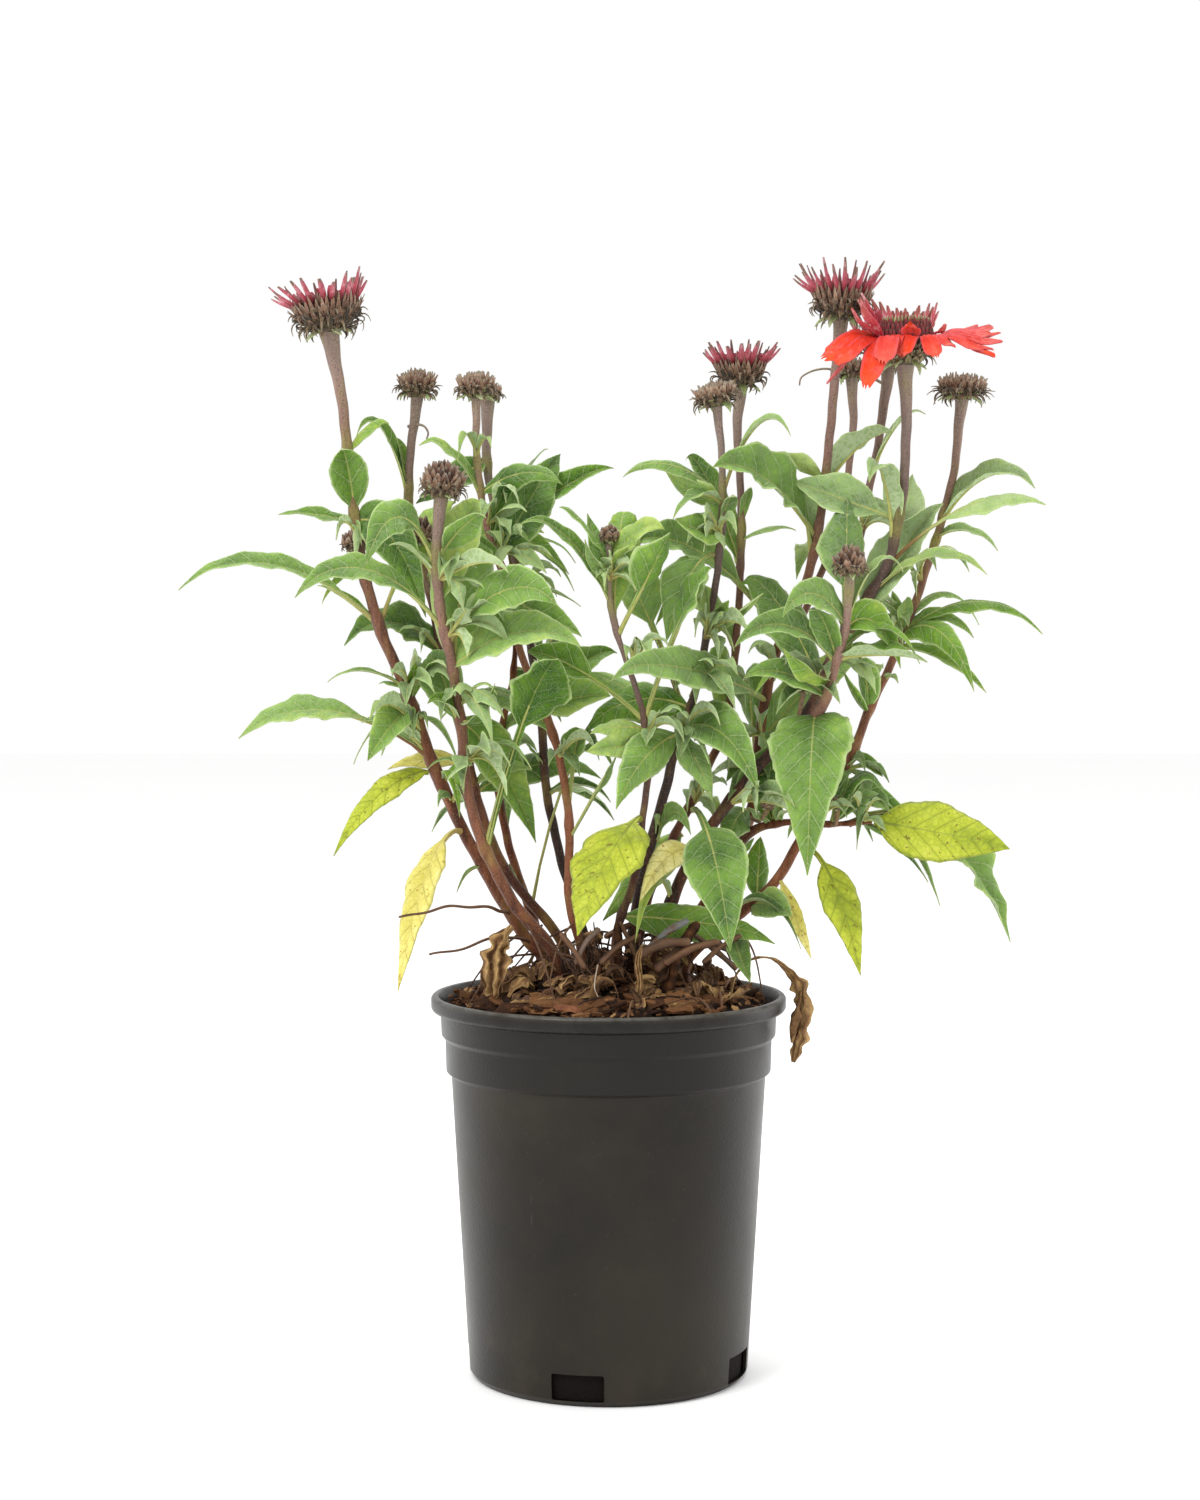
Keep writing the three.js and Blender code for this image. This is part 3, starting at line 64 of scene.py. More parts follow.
# The stems, as in the part. "r" is the radius at the foot and at the top, "flare" the radius
# below a head, "from" the stem that it branches off, "route" its places. A row of "leaves" is the
# height on the stem where the leaf starts (on a "level" branch, the place across), then its tip
# (across, up, depth), width, how far it arches up, roll in degrees, and the share that is stalk.
STEMS = {
    "s1": {"r": [3.3, 2.4], "flare": 4.6, "route": [
        [-28, 192, -3], [-38, 204, -4], [-53, 228, -6], [-81, 284, -10], [-94, 320, -10],
        [-106.5, 350, -10], [-112.5, 370, -10], [-117, 395, -10], [-124.5, 460, -10],
        [-129.3, 485.5, -10]],
        "leaves": [
        [404, -124.5, 433, -26, 20, 7, -21], [431, -102, 445.5, -8, 9.5, 5, 32],
        [398, -153.5, 402.5, -22, 11, 2, 37], [352, -200, 368.5, -30, 15, 18, 35, 0.18],
        [373, -133.5, 361, 4, 8, 9, -15], [290, -172.5, 299, -28, 22, 16, 31, 0.35],
        [314, -112.5, 288, -24, 19, 2, 28], [276, -69.5, 261, -22, 9.5, 14, 28],
        [316, -90, 335, -24, 6.5, 1, 0], [315, -75.5, 332.5, -20, 7, 5, 20],
        [307, -70, 286, -2, 7, 7, -14], [351, -71, 408.5, 6, 20, 12, 46, 0.18],
        [399, -85, 354.5, -18, 25.5, 15, 66], [282, -106.5, 318, -3, 19, 9, 50, 0.36],
        [350, -135.5, 370, -3, 8, 2, 10]]},
    "s2": {"r": [3.2, 2.0], "flare": 3.2, "route": [
        [-24, 192, -13], [-45, 222, -18], [-57, 245, -21], [-64, 265, -23], [-69.5, 310, -28],
        [-74, 338, -32], [-78, 356, -36], [-79.8, 375, -39], [-79.5, 395, -41], [-77.8, 409, -42]],
        "leaves": [
        [349, -146, 364.5, -58, 18, 19, 46, 0.2], [343, -24, 361, -64, 25.5, 14, 66, 0.2],
        [331, -13, 341, -56, 27, 11, 56], [381, -57, 403, -60, 16, 4, -28, 0.14],
        [378, -113, 378.5, -52, 21.5, 22, 56, 0.25], [372, -102, 388, -34, 12, 5, -10],
        [372, -63.5, 388, -32, 11, 6, 28], [306, -53, 324, -46, 8.5, -6, 0],
        [306, -84.5, 315, -42, 9, 5, 48], [245, -23, 336, -52, 34, 15, -18, 0.46],
        [328, -60.5, 386, -21, 32, 26, 57], [288, -85, 336, -6, 23, 11, 57, 0.24],
        [362, -59.5, 408.5, -26, 23, 9, 64]]},
    "s3": {"r": [2.7, 1.9], "flare": 2.9, "route": [
        [-19, 192, 9], [-50, 240, 10], [-59, 262, 10], [-68, 300, 12], [-78, 336, 16],
        [-81, 355, 18], [-93, 409, 22], [-92, 430, 22], [-89, 455.5, 22]],
        "leaves": [
        [337, -123, 341.5, 8, 23, 13, 46], [411, -117, 439, 16, 9.5, 17, 36],
        [396, -112.5, 408, 14, 13, 3, -43], [388, -115.5, 398, 10, 14, 2, -29],
        [277, -36, 284, 6, 11.5, 3, 44], [307, -34, 249.5, 11, 25.5, 9, 66],
        [273, -3.5, 281.5, 29, 17, 9, 66], [379, -18.5, 375.5, 28, 21.5, 16, 50],
        [414, -99, 438, 26, 8, 4, 10], [330, -48.5, 360, 18, 23, 2, 57, 0.18]]},
    "s4": {"r": [2.6, 1.2], "route": [
        [-31, 192, 18], [-47, 250, 22], [-52, 280, 24], [-50, 302, 26], [-45, 325, 28],
        [-43.5, 340, 30], [-46, 391, 33]],
        "leaves": [
        [381, -15.5, 380, 24, 6.5, 7, 8], [300, -27, 297, 32, 13, 10, 28],
        [215, 2, 284.5, -22, 9, 36, 22, 0.49], [330, -22, 306, 38, 17.5, 8, -24]]},
    "s5": {"r": [2.4, 1.6], "flare": 2.2, "route": [
        [-12, 192, -5], [-19, 228, -7], [-18.2, 246, -7], [-22, 285, -6], [-28.5, 308, -5],
        [-39.5, 334, -4], [-48.5, 374, -2], [-53, 386, 0], [-59, 410, 2], [-61.3, 432, 2],
        [-61.5, 455.5, 2]],
        "leaves": [
        [412, -88, 435.5, -8, 11, 8, 39], [428, -70, 427, -8, 7.5, 12, 0],
        [412, -21.5, 417, -14, 15, 7, 66], [393, -41.5, 406.5, -18, 9, 15, 0],
        [388, -36.5, 388.5, -14, 7, 6, 22], [380, -68, 396, -12, 9, 1, -10],
        [364, -12.5, 347.5, -24, 17, -1, 63], [312, 1, 318, -16, 24, 2, 63],
        [259, -12.5, 302, -6, 15.5, 9, 50, 0.42], [301, -78, 307.5, 9, 17, 16, 32],
        [382, -22.5, 431, 21, 25.5, 2, 66]]},
    "s6": {"r": [2.4, 2.1], "flare": 3.5, "route": [
        [-9, 192, 10], [-22.5, 243, 14], [-28, 268, 17], [-32, 315, 23], [-40, 362, 28],
        [-45, 388, 29], [-54, 410, 31], [-56.5, 430, 32], [-56, 454, 32]],
        "leaves": [
        [285, -38.5, 296, 18, 8, 1, 0], [400, -28, 434, 26, 7.5, 4, 14],
        [398, 2.5, 427, 12, 16.5, 1, 66], [396, -30, 394, 20, 11, 2, -20],
        [319, 4, 341, 36, 19, 2, 50], [428, -89.5, 407.5, 25, 19, 0, 50]]},
    "s7": {"r": [2.3, 1.1], "flare": 1.5, "route": [
        [3, 192, -15], [4.5, 210, -16], [12, 232, -18], [15.5, 256, -20], [18.3, 297, -24],
        [10, 330, -28], [4.5, 345, -29], [1, 362, -30], [0.3, 389, -30]],
        "leaves": [
        [362, -41.5, 398.5, -42, 9, 12, 58], [380, -23, 406, -38, 9, 5, 44],
        [378, 26, 396, -36, 15.5, 7, 52], [379, -10, 403, -26, 11, -3, 48],
        [376, -11, 391, -42, 9, -4, 0], [376, 9.5, 388.5, -42, 8, 0, 0],
        [345, 28.5, 394, -50, 24, 0, -13, 0.42], [306, 48, 379, -42, 23.5, 8, 50, 0.45],
        [308, -38, 339, -36, 19, 5, 63, 0.42], [303, -8.5, 302, -40, 13, 1, 56],
        [296, -10.5, 292, -46, 15.5, 0, 56], [356, 8.5, 401, -11, 21, 16, 10],
        [215, 78, 205, -11, 20.5, 2, 64]]},
    "s8": {"r": [2.8, 1.4], "flare": 2.3, "route": [
        [10, 192, -3], [28, 280, -10], [33, 300, -12], [38, 312, -13], [46, 348, -16],
        [52.5, 395, -20], [53, 420, -22], [50.5, 451.5, -22]],
        "leaves": [
        [410, 6.5, 420, -38, 9, 10, 49], [409, 26, 424, -26, 15.5, -4, -45],
        [408, 30, 400.5, -38, 11, 7, 10], [394, 31, 401, -36, 18, -2, 66],
        [413, 84.5, 439, -36, 8, 12, 20, 0.2], [400, 59, 411.5, -30, 10, 3, 0],
        [350, 56, 363, -34, 10, 1, -14], [300, 3.5, 266.5, -58, 23, 7, 59],
        [301, 70, 273, -46, 26, 14, 49], [297, 48.5, 268.5, -36, 15.5, 6, 35],
        [296, 44, 272, -22, 9.5, 10, 7], [312, -12.5, 300, -16, 23.5, 10, 63],
        [308, 5, 379, -14, 25.5, 2, 34, 0.5], [250, 38.5, 253, -22, 11.5, 12, 66],
        [305, -11, 330, 8, 17, 2, 50], [384, 27, 343.5, -31, 25.5, 12, 57, 0.3]]},
    "s9": {"r": [2.4, 1.8], "flare": 3.4, "route": [
        [13, 192, 15], [15, 208, 14], [46, 284, 10], [55, 304, 10], [57.7, 325, 10],
        [61.7, 405, 8], [60, 448, 8], [61, 460.5, 8]],
        "leaves": [
        [398, 66.5, 415, 2, 7, 4, -7], [390, 87, 395, -4, 7.5, 4, 18],
        [266, 57, 199.5, -60, 33.5, 8, 21, 0.38], [342, 22, 351, 4, 17, 16, 57],
        [380, 35.5, 431, 5, 15.5, 9, 66], [302, 50.5, 337, 16, 14, 16, 10],
        [254, -2.5, 213.5, 19, 23, 2, 64]]},
    "s10": {"r": [3.1, 2.2], "flare": 3.6, "route": [
        [30, 192, 14], [40, 212, 14], [60, 246, 14], [66, 262, 14], [69.5, 280, 13], [70, 293, 12],
        [79.5, 342, 8], [91, 368, 3], [96, 388, 0], [104.5, 460, -8], [107.5, 491.5, -8]],
        "leaves": [
        [393, 48.5, 424.5, -46, 30, 10, 66, 0.1], [418, 78, 431, -18, 11, 1, -34],
        [345, 8, 388, -46, 21.5, 13, 66, 0.28], [316, 1, 330.5, -60, 23.5, 7, 66, 0.12],
        [385, 82, 412, -14, 23.5, 13, -25], [414, 132, 440.5, 4, 21, 6, -35],
        [290, 55, 278, 0, 12, 3, 34], [264, 54.5, 243.5, -18, 19, 8, 37, 0.1],
        [244, 68, 252, -4, 7, -5, 0], [276, 63, 321.5, 14, 25.5, 18, 64, 0.24],
        [296, 119, 338, 29, 24, 6, 50]]},
    "s11": {"r": [1.9, 1.7], "flare": 3.0, "from": "s10", "route": [
        [79.5, 342, 8], [88, 352, 13], [96, 368, 17], [106, 397, 21], [111, 420, 23],
        [113.3, 440, 24], [112.8, 464.5, 24]], "leaves": []},
    "s16": {"r": [2.6, 1.0], "from": "s10", "level": True, "route": [
        [62, 251, 13], [68, 255.5, 4], [76, 258, -6], [84, 259, -11], [104, 258, -16],
        [123, 259.5, -18]],
        "leaves": [
        [77, 75, 281, -8, 7, 3, -7], [77, 67, 277, -2, 9.5, 2, 28],
        [104, 129, 271, -22, 13, 16, 24], [104, 118.5, 277, -14, 8.5, 3, 14],
        [103, 112, 281, -6, 7, 0, 0], [104, 133, 265, -4, 14.5, 9, 34],
        [117, 149.5, 231, -8, 8.5, 6, -7], [118, 155, 220, -2, 9.5, 14, -21],
        [112, 188, 203, -4, 29.5, 26, 46, 0.45]]},
    "s13": {"r": [3.1, 2.3], "flare": 4.0, "route": [
        [20, 192, -8], [25, 210, -8], [32, 228, -9], [45, 252, -10], [70, 285, -12],
        [88, 304, -12], [96, 316, -12], [101, 330, -12], [114, 350, -12], [121, 364, -13],
        [128, 375, -15], [134.5, 398, -19], [138.2, 450, -26], [137.7, 470.5, -28]],
        "leaves": [
        [378, 203, 407.5, -36, 15, 13, 28, 0.34], [366, 176, 375, -34, 10.5, 12, 28, 0.1],
        [398, 141, 421, 6, 20.5, -4, 14], [392, 121, 417, 8, 18, 11, 14],
        [222, 12.5, 202.5, -38, 9, 5, 22], [357, 155.5, 408, -3, 23, 4, 57],
        [323, 61.5, 374, -3, 25.5, 11, 50], [242, 54, 290, 2, 25.5, 2, 66],
        [400, 85.5, 418, -10, 23, 0, 64, 0.18], [269, 123.5, 250.5, -13, 25.5, 25, 66]]},
    "s12": {"r": [2.0, 2.1], "flare": 3.6, "from": "s13", "route": [
        [112, 347, -11], [113, 362, 2], [116, 385, 16], [119.5, 405, 26], [126, 440, 36],
        [130, 470.5, 38]], "leaves": []},
    "s14": {"r": [2.6, 1.7], "flare": 2.0, "from": "s13", "route": [
        [87, 303, -13], [94, 306, -22], [99.5, 313, -30], [104, 326, -38], [110.5, 352, -49],
        [112.3, 373, -52]],
        "leaves": [
        [309, 93, 234, -58, 43, 17, -7], [350, 111, 411, -20, 26.5, 0, 28, 0.4],
        [350, 137, 376, -42, 9.5, 15, 10], [348, 136, 331, -58, 18, 13, 64],
        [335, 145, 333, -46, 8.5, 15, 31], [334, 58.5, 341, -60, 15, 13, 60, 0.12],
        [335, 93, 358.5, -60, 14, 7, -28], [351, 81, 355, -64, 17.5, 12, 64],
        [365, 42, 376, -54, 33, 13, 66], [318, 63, 327, -54, 16, 6, 63],
        [317, 68, 318, -52, 10.5, 9, 36], [325, 81.5, 341, -50, 12, -3, -21],
        [336, 148.5, 334.5, -49, 19, 2, 10]]},
    "s15": {"r": [3.1, 1.9], "flare": 3.2, "route": [
        [36, 192, 3], [48, 206, 2], [66, 220, 1], [78, 231, 0], [89, 250, 0], [113.5, 290, 4],
        [120, 308, 6], [128, 325, 8], [154, 397, 12], [159.5, 418, 12], [163.6, 454.5, 12]],
        "leaves": [
        [400, 198, 414.5, -8, 17.5, 13, 35], [392, 181, 386, 0, 9, 6, 29],
        [346, 202, 348, -8, 12.5, 15, 28, 0.12], [350, 172.5, 351, 22, 7, 12, 24],
        [347, 170, 345, 6, 12, 9, 38], [344, 170.5, 320, -24, 16, 17, 42],
        [341, 176, 320, -8, 12, 5, 21], [348, 139.5, 364, -6, 8, 4, 0],
        [348, 132, 367, 2, 11, 0, 0], [310, 128, 331, -8, 8.5, 8, 7],
        [310, 109, 331, -6, 7, -3, 0], [311, 118, 337, -10, 14, 4, 14],
        [292, 128, 281, -4, 11, -1, 22], [221, 86, 215, -26, 19, 2, 52],
        [213, 66.5, 186, -58, 12, -4, 10], [223, 71, 252.5, 13, 14, 2, 32],
        [265, 146.5, 243.5, 11, 19, 16, 50]]},
}
# yellow leaves: the stem, then the same numbers as a leaf has
YELLOW = {
    "leaf_lime_left": ["s1", 283, -128.5, 243.5, -30, 14, 9, 38],
    "leaf_straw_back": ["s3", 287, -103, 284, 12, 11, 3, 52],
    "leaf_straw_left": ["s1", 256, -98.5, 180, -48, 22, 20, -12, 0.28],
    "leaf_lime_front": ["s7", 262, -14.5, 206.5, -66, 38, 8, 0, 0.12],
    "leaf_straw_folded": ["s13", 246, 14.5, 222, -42, 14, 8, 46],
    "leaf_lime_right": ["s16", 123, 187.5, 248, -34, 30, 0, 62],
    "leaf_lime_hanging": ["s15", 249, 118, 187, -28, 19, 14, 26, 0.34],
    "leaf_straw_narrow": ["s15", 232, 95, 195, -24, 8, 0, 14],
}
# flower heads: stem, radius, height, lean to the right in degrees, form
HEADS = {
    "a": ["s1", 15.5, 17, -7, "half"], "b": ["s3", 8.2, 12.5, 2, "bud"],
    "c": ["s5", 8.2, 11.5, 0, "bud"], "d": ["s6", 6.2, 8.5, 0, "bud"],
    "e": ["s2", 8.6, 13, 6, "bud"], "f": ["s9", 11.5, 13.5, 0, "half"],
    "g": ["s8", 9, 11, -10, "bud"], "h": ["s10", 13, 16, 2, "half"],
    "i": ["s14", 6.6, 10.5, 0, "bud"], "j": ["s13", 13, 17, 0, "open"],
    "k": ["s15", 10.5, 11.5, 3, "bud"], "l": ["s12", 12.5, 15, 0, "half"],
    "m": ["s11", 7.5, 9, 0, "bud"], "n": ["s7", 3.8, 6, 0, "bud"]
}
# small leaves that only the looks have, with the same numbers
SPRIGS = {
    "s1": [[322, -131, 325, -22, 3.5, 6, 20], [296, -119, 286, -2, 4, 15, 3],
           [237, -71, 226, -14, 3, 5, 10], [321, -107, 324, -8, 4.5, 2, 10],
           [305, -84, 300.5, -26, 3, 8, 0]],
    "s2": [[312, -52, 319, -42, 4.5, 8, 10], [288, -84.5, 284.5, -38, 4, 3, 10],
           [285, -36, 284, -42, 6, 11, 10]],
    "s4": [[228, -46.5, 240, 12, 4, 0, 0], [388, -38, 379.5, 24, 6, 3, 17],
           [385, -16, 367, 16, 5, 11, 24]],
    "s5": [[430, -54.5, 433, -10, 4.5, 6, 0], [369, -13, 360, -10, 3.5, 3, 0],
           [250, 4, 291, -28, 4.5, 0, 0, 0.5]],
    "s6": [[272, 1, 269, 6, 6, 6, 28]],
    "s8": [[343, 72, 366, -36, 5, 1, -7, 0.18], [350, 42.5, 359, -26, 5, 14, 0],
           [258, 22, 253.5, -24, 3, 7, 10]],
    "s16": [[78, 87, 261, -18, 5, 4, 0], [80, 79, 275, -12, 5, -3, 0],
            [76, 65, 266, -10, 5.5, 1, -28], [121, 116, 246, -24, 4, 8, 0]],
    "s12": [[425, 147, 449.5, 30, 6, 8, 0]],
    "s15": [[349, 122, 357, 0, 5, 9, 0], [326, 135, 324, -2, 4, 2, 0],
            [209, 90, 200, -28, 6, 18, 17]],
}
# rays of the half-open heads: how many, length, lean outwards at the left and at the right
RAYS = {"a": [14, 13, 55, 28], "f": [13, 11, 42, 44], "h": [14, 15, 48, 30], "l": [12, 14, 40, 34]}
# rays of the open head: place round it in degrees, reach, drop, width, and how far the upper
# face turns to the front
OPEN_RAYS = [[-172, 27, 8.5, 14, 42], [158, 14, -6, 9, 25], [-137, 16, 23.7, 12, 10],
             [-124, 12, 12.5, 10, 10], [-116, 5, 9, 7.5, 0], [-102, 4, 10, 13, 0],
             [-56, 10, 9.7, 8.5, 15], [-86, 2.5, -7.5, 8, 0], [12, 29, -7.5, 7, 35],
             [0, 26.5, -3, 7, 35], [-16, 28, 8.5, 6, 30], [42, 6, -15, 5.5, 0],
             [-150, 13, -17, 5.5, 0], [172, 23, 19.5, 5, 0]]
# leaves of the far side: the stems that have them, the heights between which they start, the
# height from one to the next, and the range of their length, width and drop
BACK = {"stems": ["s3", "s4", "s6", "s9", "s10", "s15"], "low": 262, "high": 415,
        "step": 118, "length": [30, 46], "width": [8.5, 11.8], "drop": [4, 20]}
# how much deeper and higher the part bends a leaf that would touch another, in this order
BENDS = [
    [0, 0], [5, 0], [-5, 0], [0, 4], [10, 0], [-10, 0], [5, 5], [-5, 5], [0, -4], [15, 3],
    [-15, 3], [20, 0], [-20, 0], [10, 8], [-10, 8], [26, 4], [-26, 4], [0, 9], [32, 0], [-32, 0],
    [18, 10], [-18, 10], [0, 14], [40, 6], [-40, 6]
]
YELLOW_GAP = 0.8
# outlines of large, small and tiny leaves: [share of the length, share of the width]
LARGE = [[0, 0.13], [0.16, 0.72], [0.38, 1], [0.66, 0.72], [1, 0]]
SMALL = [[0, 0.2], [0.35, 1], [0.72, 0.6], [1, 0]]
TINY = [[0, 0.3], [0.42, 1], [1, 0]]
# small curled young leaves: stem, height of their node, then the middle of the bunch, how many
# leaves, and their length
TUFTS = [
    ["s1", 318, -88, 328, -26, 5, 20], ["s1", 300, -100, 309, -22, 3, 20],
    ["s1", 292, -108, 300, -16, 3, 18], ["s1", 268, -72, 270, -24, 3, 12],
    ["s1", 393, -122, 387, -18, 3, 14], ["s2", 322, -66, 312, -42, 4, 22],
    ["s2", 288, -58, 284, -44, 5, 24], ["s2", 372, -62, 372, -46, 6, 22],
    ["s2", 345, -62, 352, -44, 5, 24], ["s3", 392, -92, 388, 8, 4, 18],
    ["s3", 372, -68, 378, 2, 4, 20], ["s3", 340, -92, 344, 4, 3, 14],
    ["s4", 285, -40, 290, 12, 3, 16], ["s4", 360, -34, 372, 22, 4, 20],
    ["s5", 384, -40, 384, -16, 6, 22], ["s5", 398, -46, 402, -12, 4, 18],
    ["s5", 352, -44, 345, -16, 4, 20], ["s5", 290, -14, 290, -18, 4, 18],
    ["s6", 330, -22, 336, 10, 4, 18], ["s7", 372, 2, 376, -42, 5, 16],
    ["s7", 330, 18, 342, -40, 4, 18], ["s7", 300, 28, 306, -38, 4, 20],
    ["s8", 345, 50, 350, -30, 6, 18], ["s8", 392, 44, 394, -28, 6, 18],
    ["s8", 325, 48, 326, -34, 5, 20], ["s8", 300, 40, 300, -36, 4, 20],
    ["s9", 322, 52, 322, 4, 4, 20], ["s9", 268, 46, 272, -2, 4, 20],
    ["s10", 300, 66, 296, -6, 5, 22], ["s10", 330, 78, 336, -4, 5, 22],
    ["s10", 282, 62, 280, -8, 5, 22], ["s12", 395, 122, 398, 24, 4, 24],
    ["s13", 268, 76, 270, -46, 5, 20], ["s13", 335, 116, 332, -40, 4, 18],
    ["s13", 322, 90, 326, -44, 5, 22], ["s15", 352, 130, 352, 4, 6, 18],
    ["s15", 284, 121, 277, 2, 4, 20], ["s15", 372, 138, 376, 4, 3, 18],
    ["s16", 96, 104, 268, -24, 5, 14], ["s16", 118, 120, 262, -24, 4, 16]
]
# share of the part's leaf width that the leaves have here
SLIM = 0.9
# side buds: stem, radius, height, lean, form, node on the stem, then their foot
SMALL_BUDS = {"o": ["s1", 5.6, 7.5, -4, "bud", 372, -117.5, 385.5, 6],
              "p": ["s3", 5.2, 10.5, -3, "bud", 366, -87, 388, -2],
              "q": ["s13", 4.3, 8, 4, "bud", 300, 91, 319.5, -28],
              "r": ["s16", 2.4, 4.6, 0, "bud", 104, 107, 265, -20],
              "t": ["s10", 2.2, 4.4, 0, "bud", 262, 74.5, 265, -16]}
# thin dry strands that curl away from stems s3 and s12
TENDRILS = [[[-93.2, 443, 22], [-88.5, 444, 20], [-85.1, 442.7, 18], [-83.7, 440, 18],
             [-84.6, 437, 18]],
            [[127, 463, 36], [118, 467.5, 33], [107, 469, 30], [98.6, 469.6, 28],
             [93.1, 468.1, 27], [89, 465.1, 26], [88.5, 462, 26]]]
UP = np.array([0.0, 0.0, 1.0])
AWAY = np.array([0.0, 1.0, 0.0])
# radians, as near as the small florets and bracts need
QUARTER_TURN = 1.57
HALF_TURN = 3.14
# degrees from one floret of the spiral to the next
GOLDEN_ANGLE = 137.508


# ---- numbers ------------------------------------------------------------------------------

def chance(n):
    """A number from 0 to 1 that looks random and is always the same for n."""
    s = math.sin(n * 12.9898 + 4.1414) * 43758.5453
    return s - math.floor(s)


def between(pair, n):
    """A number between the two of a pair, drawn for n."""
    return pair[0] + (pair[1] - pair[0]) * chance(n)


def place(p):
    """A place on the plant, from how it looks from the camera to X, Y and Z."""
    k = (EYE["dist"] + p[2]) / EYE["dist"]
    return np.array([EYE["x"] + (p[0] - EYE["x"]) * k, p[2], EYE["z"] + (p[1] - EYE["z"]) * k])


def unit(v):
    v = np.asarray(v, float)
    return v / np.maximum(np.linalg.norm(v, axis=-1, keepdims=True), 1e-9)


def polar(r, turn):
    return r * math.cos(turn), r * math.sin(turn)


def smooth(x, low, high):
    """0 up to low, 1 from high on, with a soft step between."""
    t = np.clip((np.asarray(x, float) - low) / (high - low), 0, 1)
    return t * t * (3 - 2 * t)


def hermite(knots, values, at):
    """Smooth curve through values at knots, read at places."""
    knots, values = np.asarray(knots, float), np.asarray(values, float)
    slopes = np.gradient(values, knots, axis=0)
    i = np.clip(np.searchsorted(knots, at, side="right") - 1, 0, len(knots) - 2)
    h = knots[i + 1] - knots[i]
    t = (at - knots[i]) / h
    if values.ndim > 1:
        h, t = h[:, None], t[:, None]
    return ((2 * t ** 3 - 3 * t ** 2 + 1) * values[i] + (t ** 3 - 2 * t ** 2 + t) * h * slopes[i]
            + (3 * t ** 2 - 2 * t ** 3) * values[i + 1] + (t ** 3 - t ** 2) * h * slopes[i + 1])


def spline(points, step):
    """The route made smooth: points a step apart, and where each lies, counted in route points."""
    p = np.asarray(points, float)
    d = np.r_[0, np.cumsum(np.linalg.norm(np.diff(p, axis=0), axis=1))]
    s = np.linspace(0, d[-1], max(3, int(d[-1] / step) + 1))
    return hermite(d, p, s), np.interp(s, d, np.arange(len(p))), s


# ---- meshes -------------------------------------------------------------------------------

def linked(name, data):
    """A new object in the scene."""
    made = bpy.data.objects.new(name, data)
    bpy.context.scene.collection.objects.link(made)
    return made


def dress(mesh, material, crease):
    """One material, and smooth shading but for edges sharper than crease degrees."""
    mesh.materials.clear()
    mesh.materials.append(material)
    mesh.polygons.foreach_set("use_smooth", [True] * len(mesh.polygons))
    mesh.set_sharp_from_angle(angle=math.radians(crease))


class Soup:
    """Points, faces and named numbers per point that become one piece."""

    def __init__(self):
        self.points, self.faces, self.rows, self.count = [], [], [], 0

    def add(self, points, faces, **data):
        points = np.asarray(points, float).reshape(-1, 3)
        for block in faces:
            self.faces += (np.asarray(block, int) + self.count).tolist()
        self.points.append(points)
        self.rows.append({k: np.broadcast_to(v, len(points)) for k, v in data.items()})
        self.count += len(points)

    def make(self, name, material, slot, nodes=(), crease=60):
        mesh = bpy.data.meshes.new(name)
        mesh.from_pydata((np.concatenate(self.points) * MM).tolist(), [], self.faces)
        for key in sorted({k for row in self.rows for k in row}):
            values = np.concatenate([row.get(key, np.zeros(len(p)))
                                     for row, p in zip(self.rows, self.points)])
            mesh.attributes.new(key, "FLOAT", "POINT").data.foreach_set(
                "value", values.astype(np.float32))
        dress(mesh, material, crease)
        piece = linked(name, mesh)
        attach(piece, "root")
        if nodes:
            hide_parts(*nodes)


def quads(rows, cols, closed=False):
    """Faces of a grid of points; closed joins its last column to its first."""
    i = np.arange(rows - 1)[:, None]
    j = np.arange(cols if closed else cols - 1)[None, :]
    k = (j + 1) % cols
    corners = [i * cols + j, i * cols + k, (i + 1) * cols + k, (i + 1) * cols + j]
    return np.stack(corners, -1).reshape(-1, 4)


def capped(rows, sides):
    """Faces of rings of points with both ends closed by a middle point that follows them."""
    n = rows * sides
    ring = np.arange(sides)
    last = n - sides + ring
    return [quads(rows, sides, True),
            np.stack([np.full(sides, n), np.roll(ring, -1), ring], 1),
            np.stack([np.full(sides, n + 1), last, np.roll(last, -1)], 1)]


def frames(path):
    """Directions along and across a path that turn with it and don't spin."""
    along = unit(np.gradient(path, axis=0))
    seed = np.cross(along[0], [0, 1, 0.01])
    first = unit(seed)
    out = []
    for t in along:
        first = unit(first - np.dot(first, t) * t)
        out.append(first)
    first = np.array(out)
    return along, first, np.cross(along, first)


def tube(path, radii, sides, ridges=None):
    """Points and faces of a round bar along a path, with its two ends closed."""
    path = np.asarray(path, float)
    _, a, b = frames(path)
    turn = np.linspace(0, 2 * np.pi, sides, endpoint=False)
    r = np.broadcast_to(np.asarray(radii, float), len(path))[:, None]
    if ridges is not None:
        r = r * (1 + ridges(turn)[None, :])
    else:
        r = np.repeat(r, sides, 1)
    points = (path[:, None] + (r * np.cos(turn))[..., None] * a[:, None]
              + (r * np.sin(turn))[..., None] * b[:, None])
    points = np.concatenate([points.reshape(-1, 3), path[:1], path[-1:]])
    return points, capped(len(path), sides)


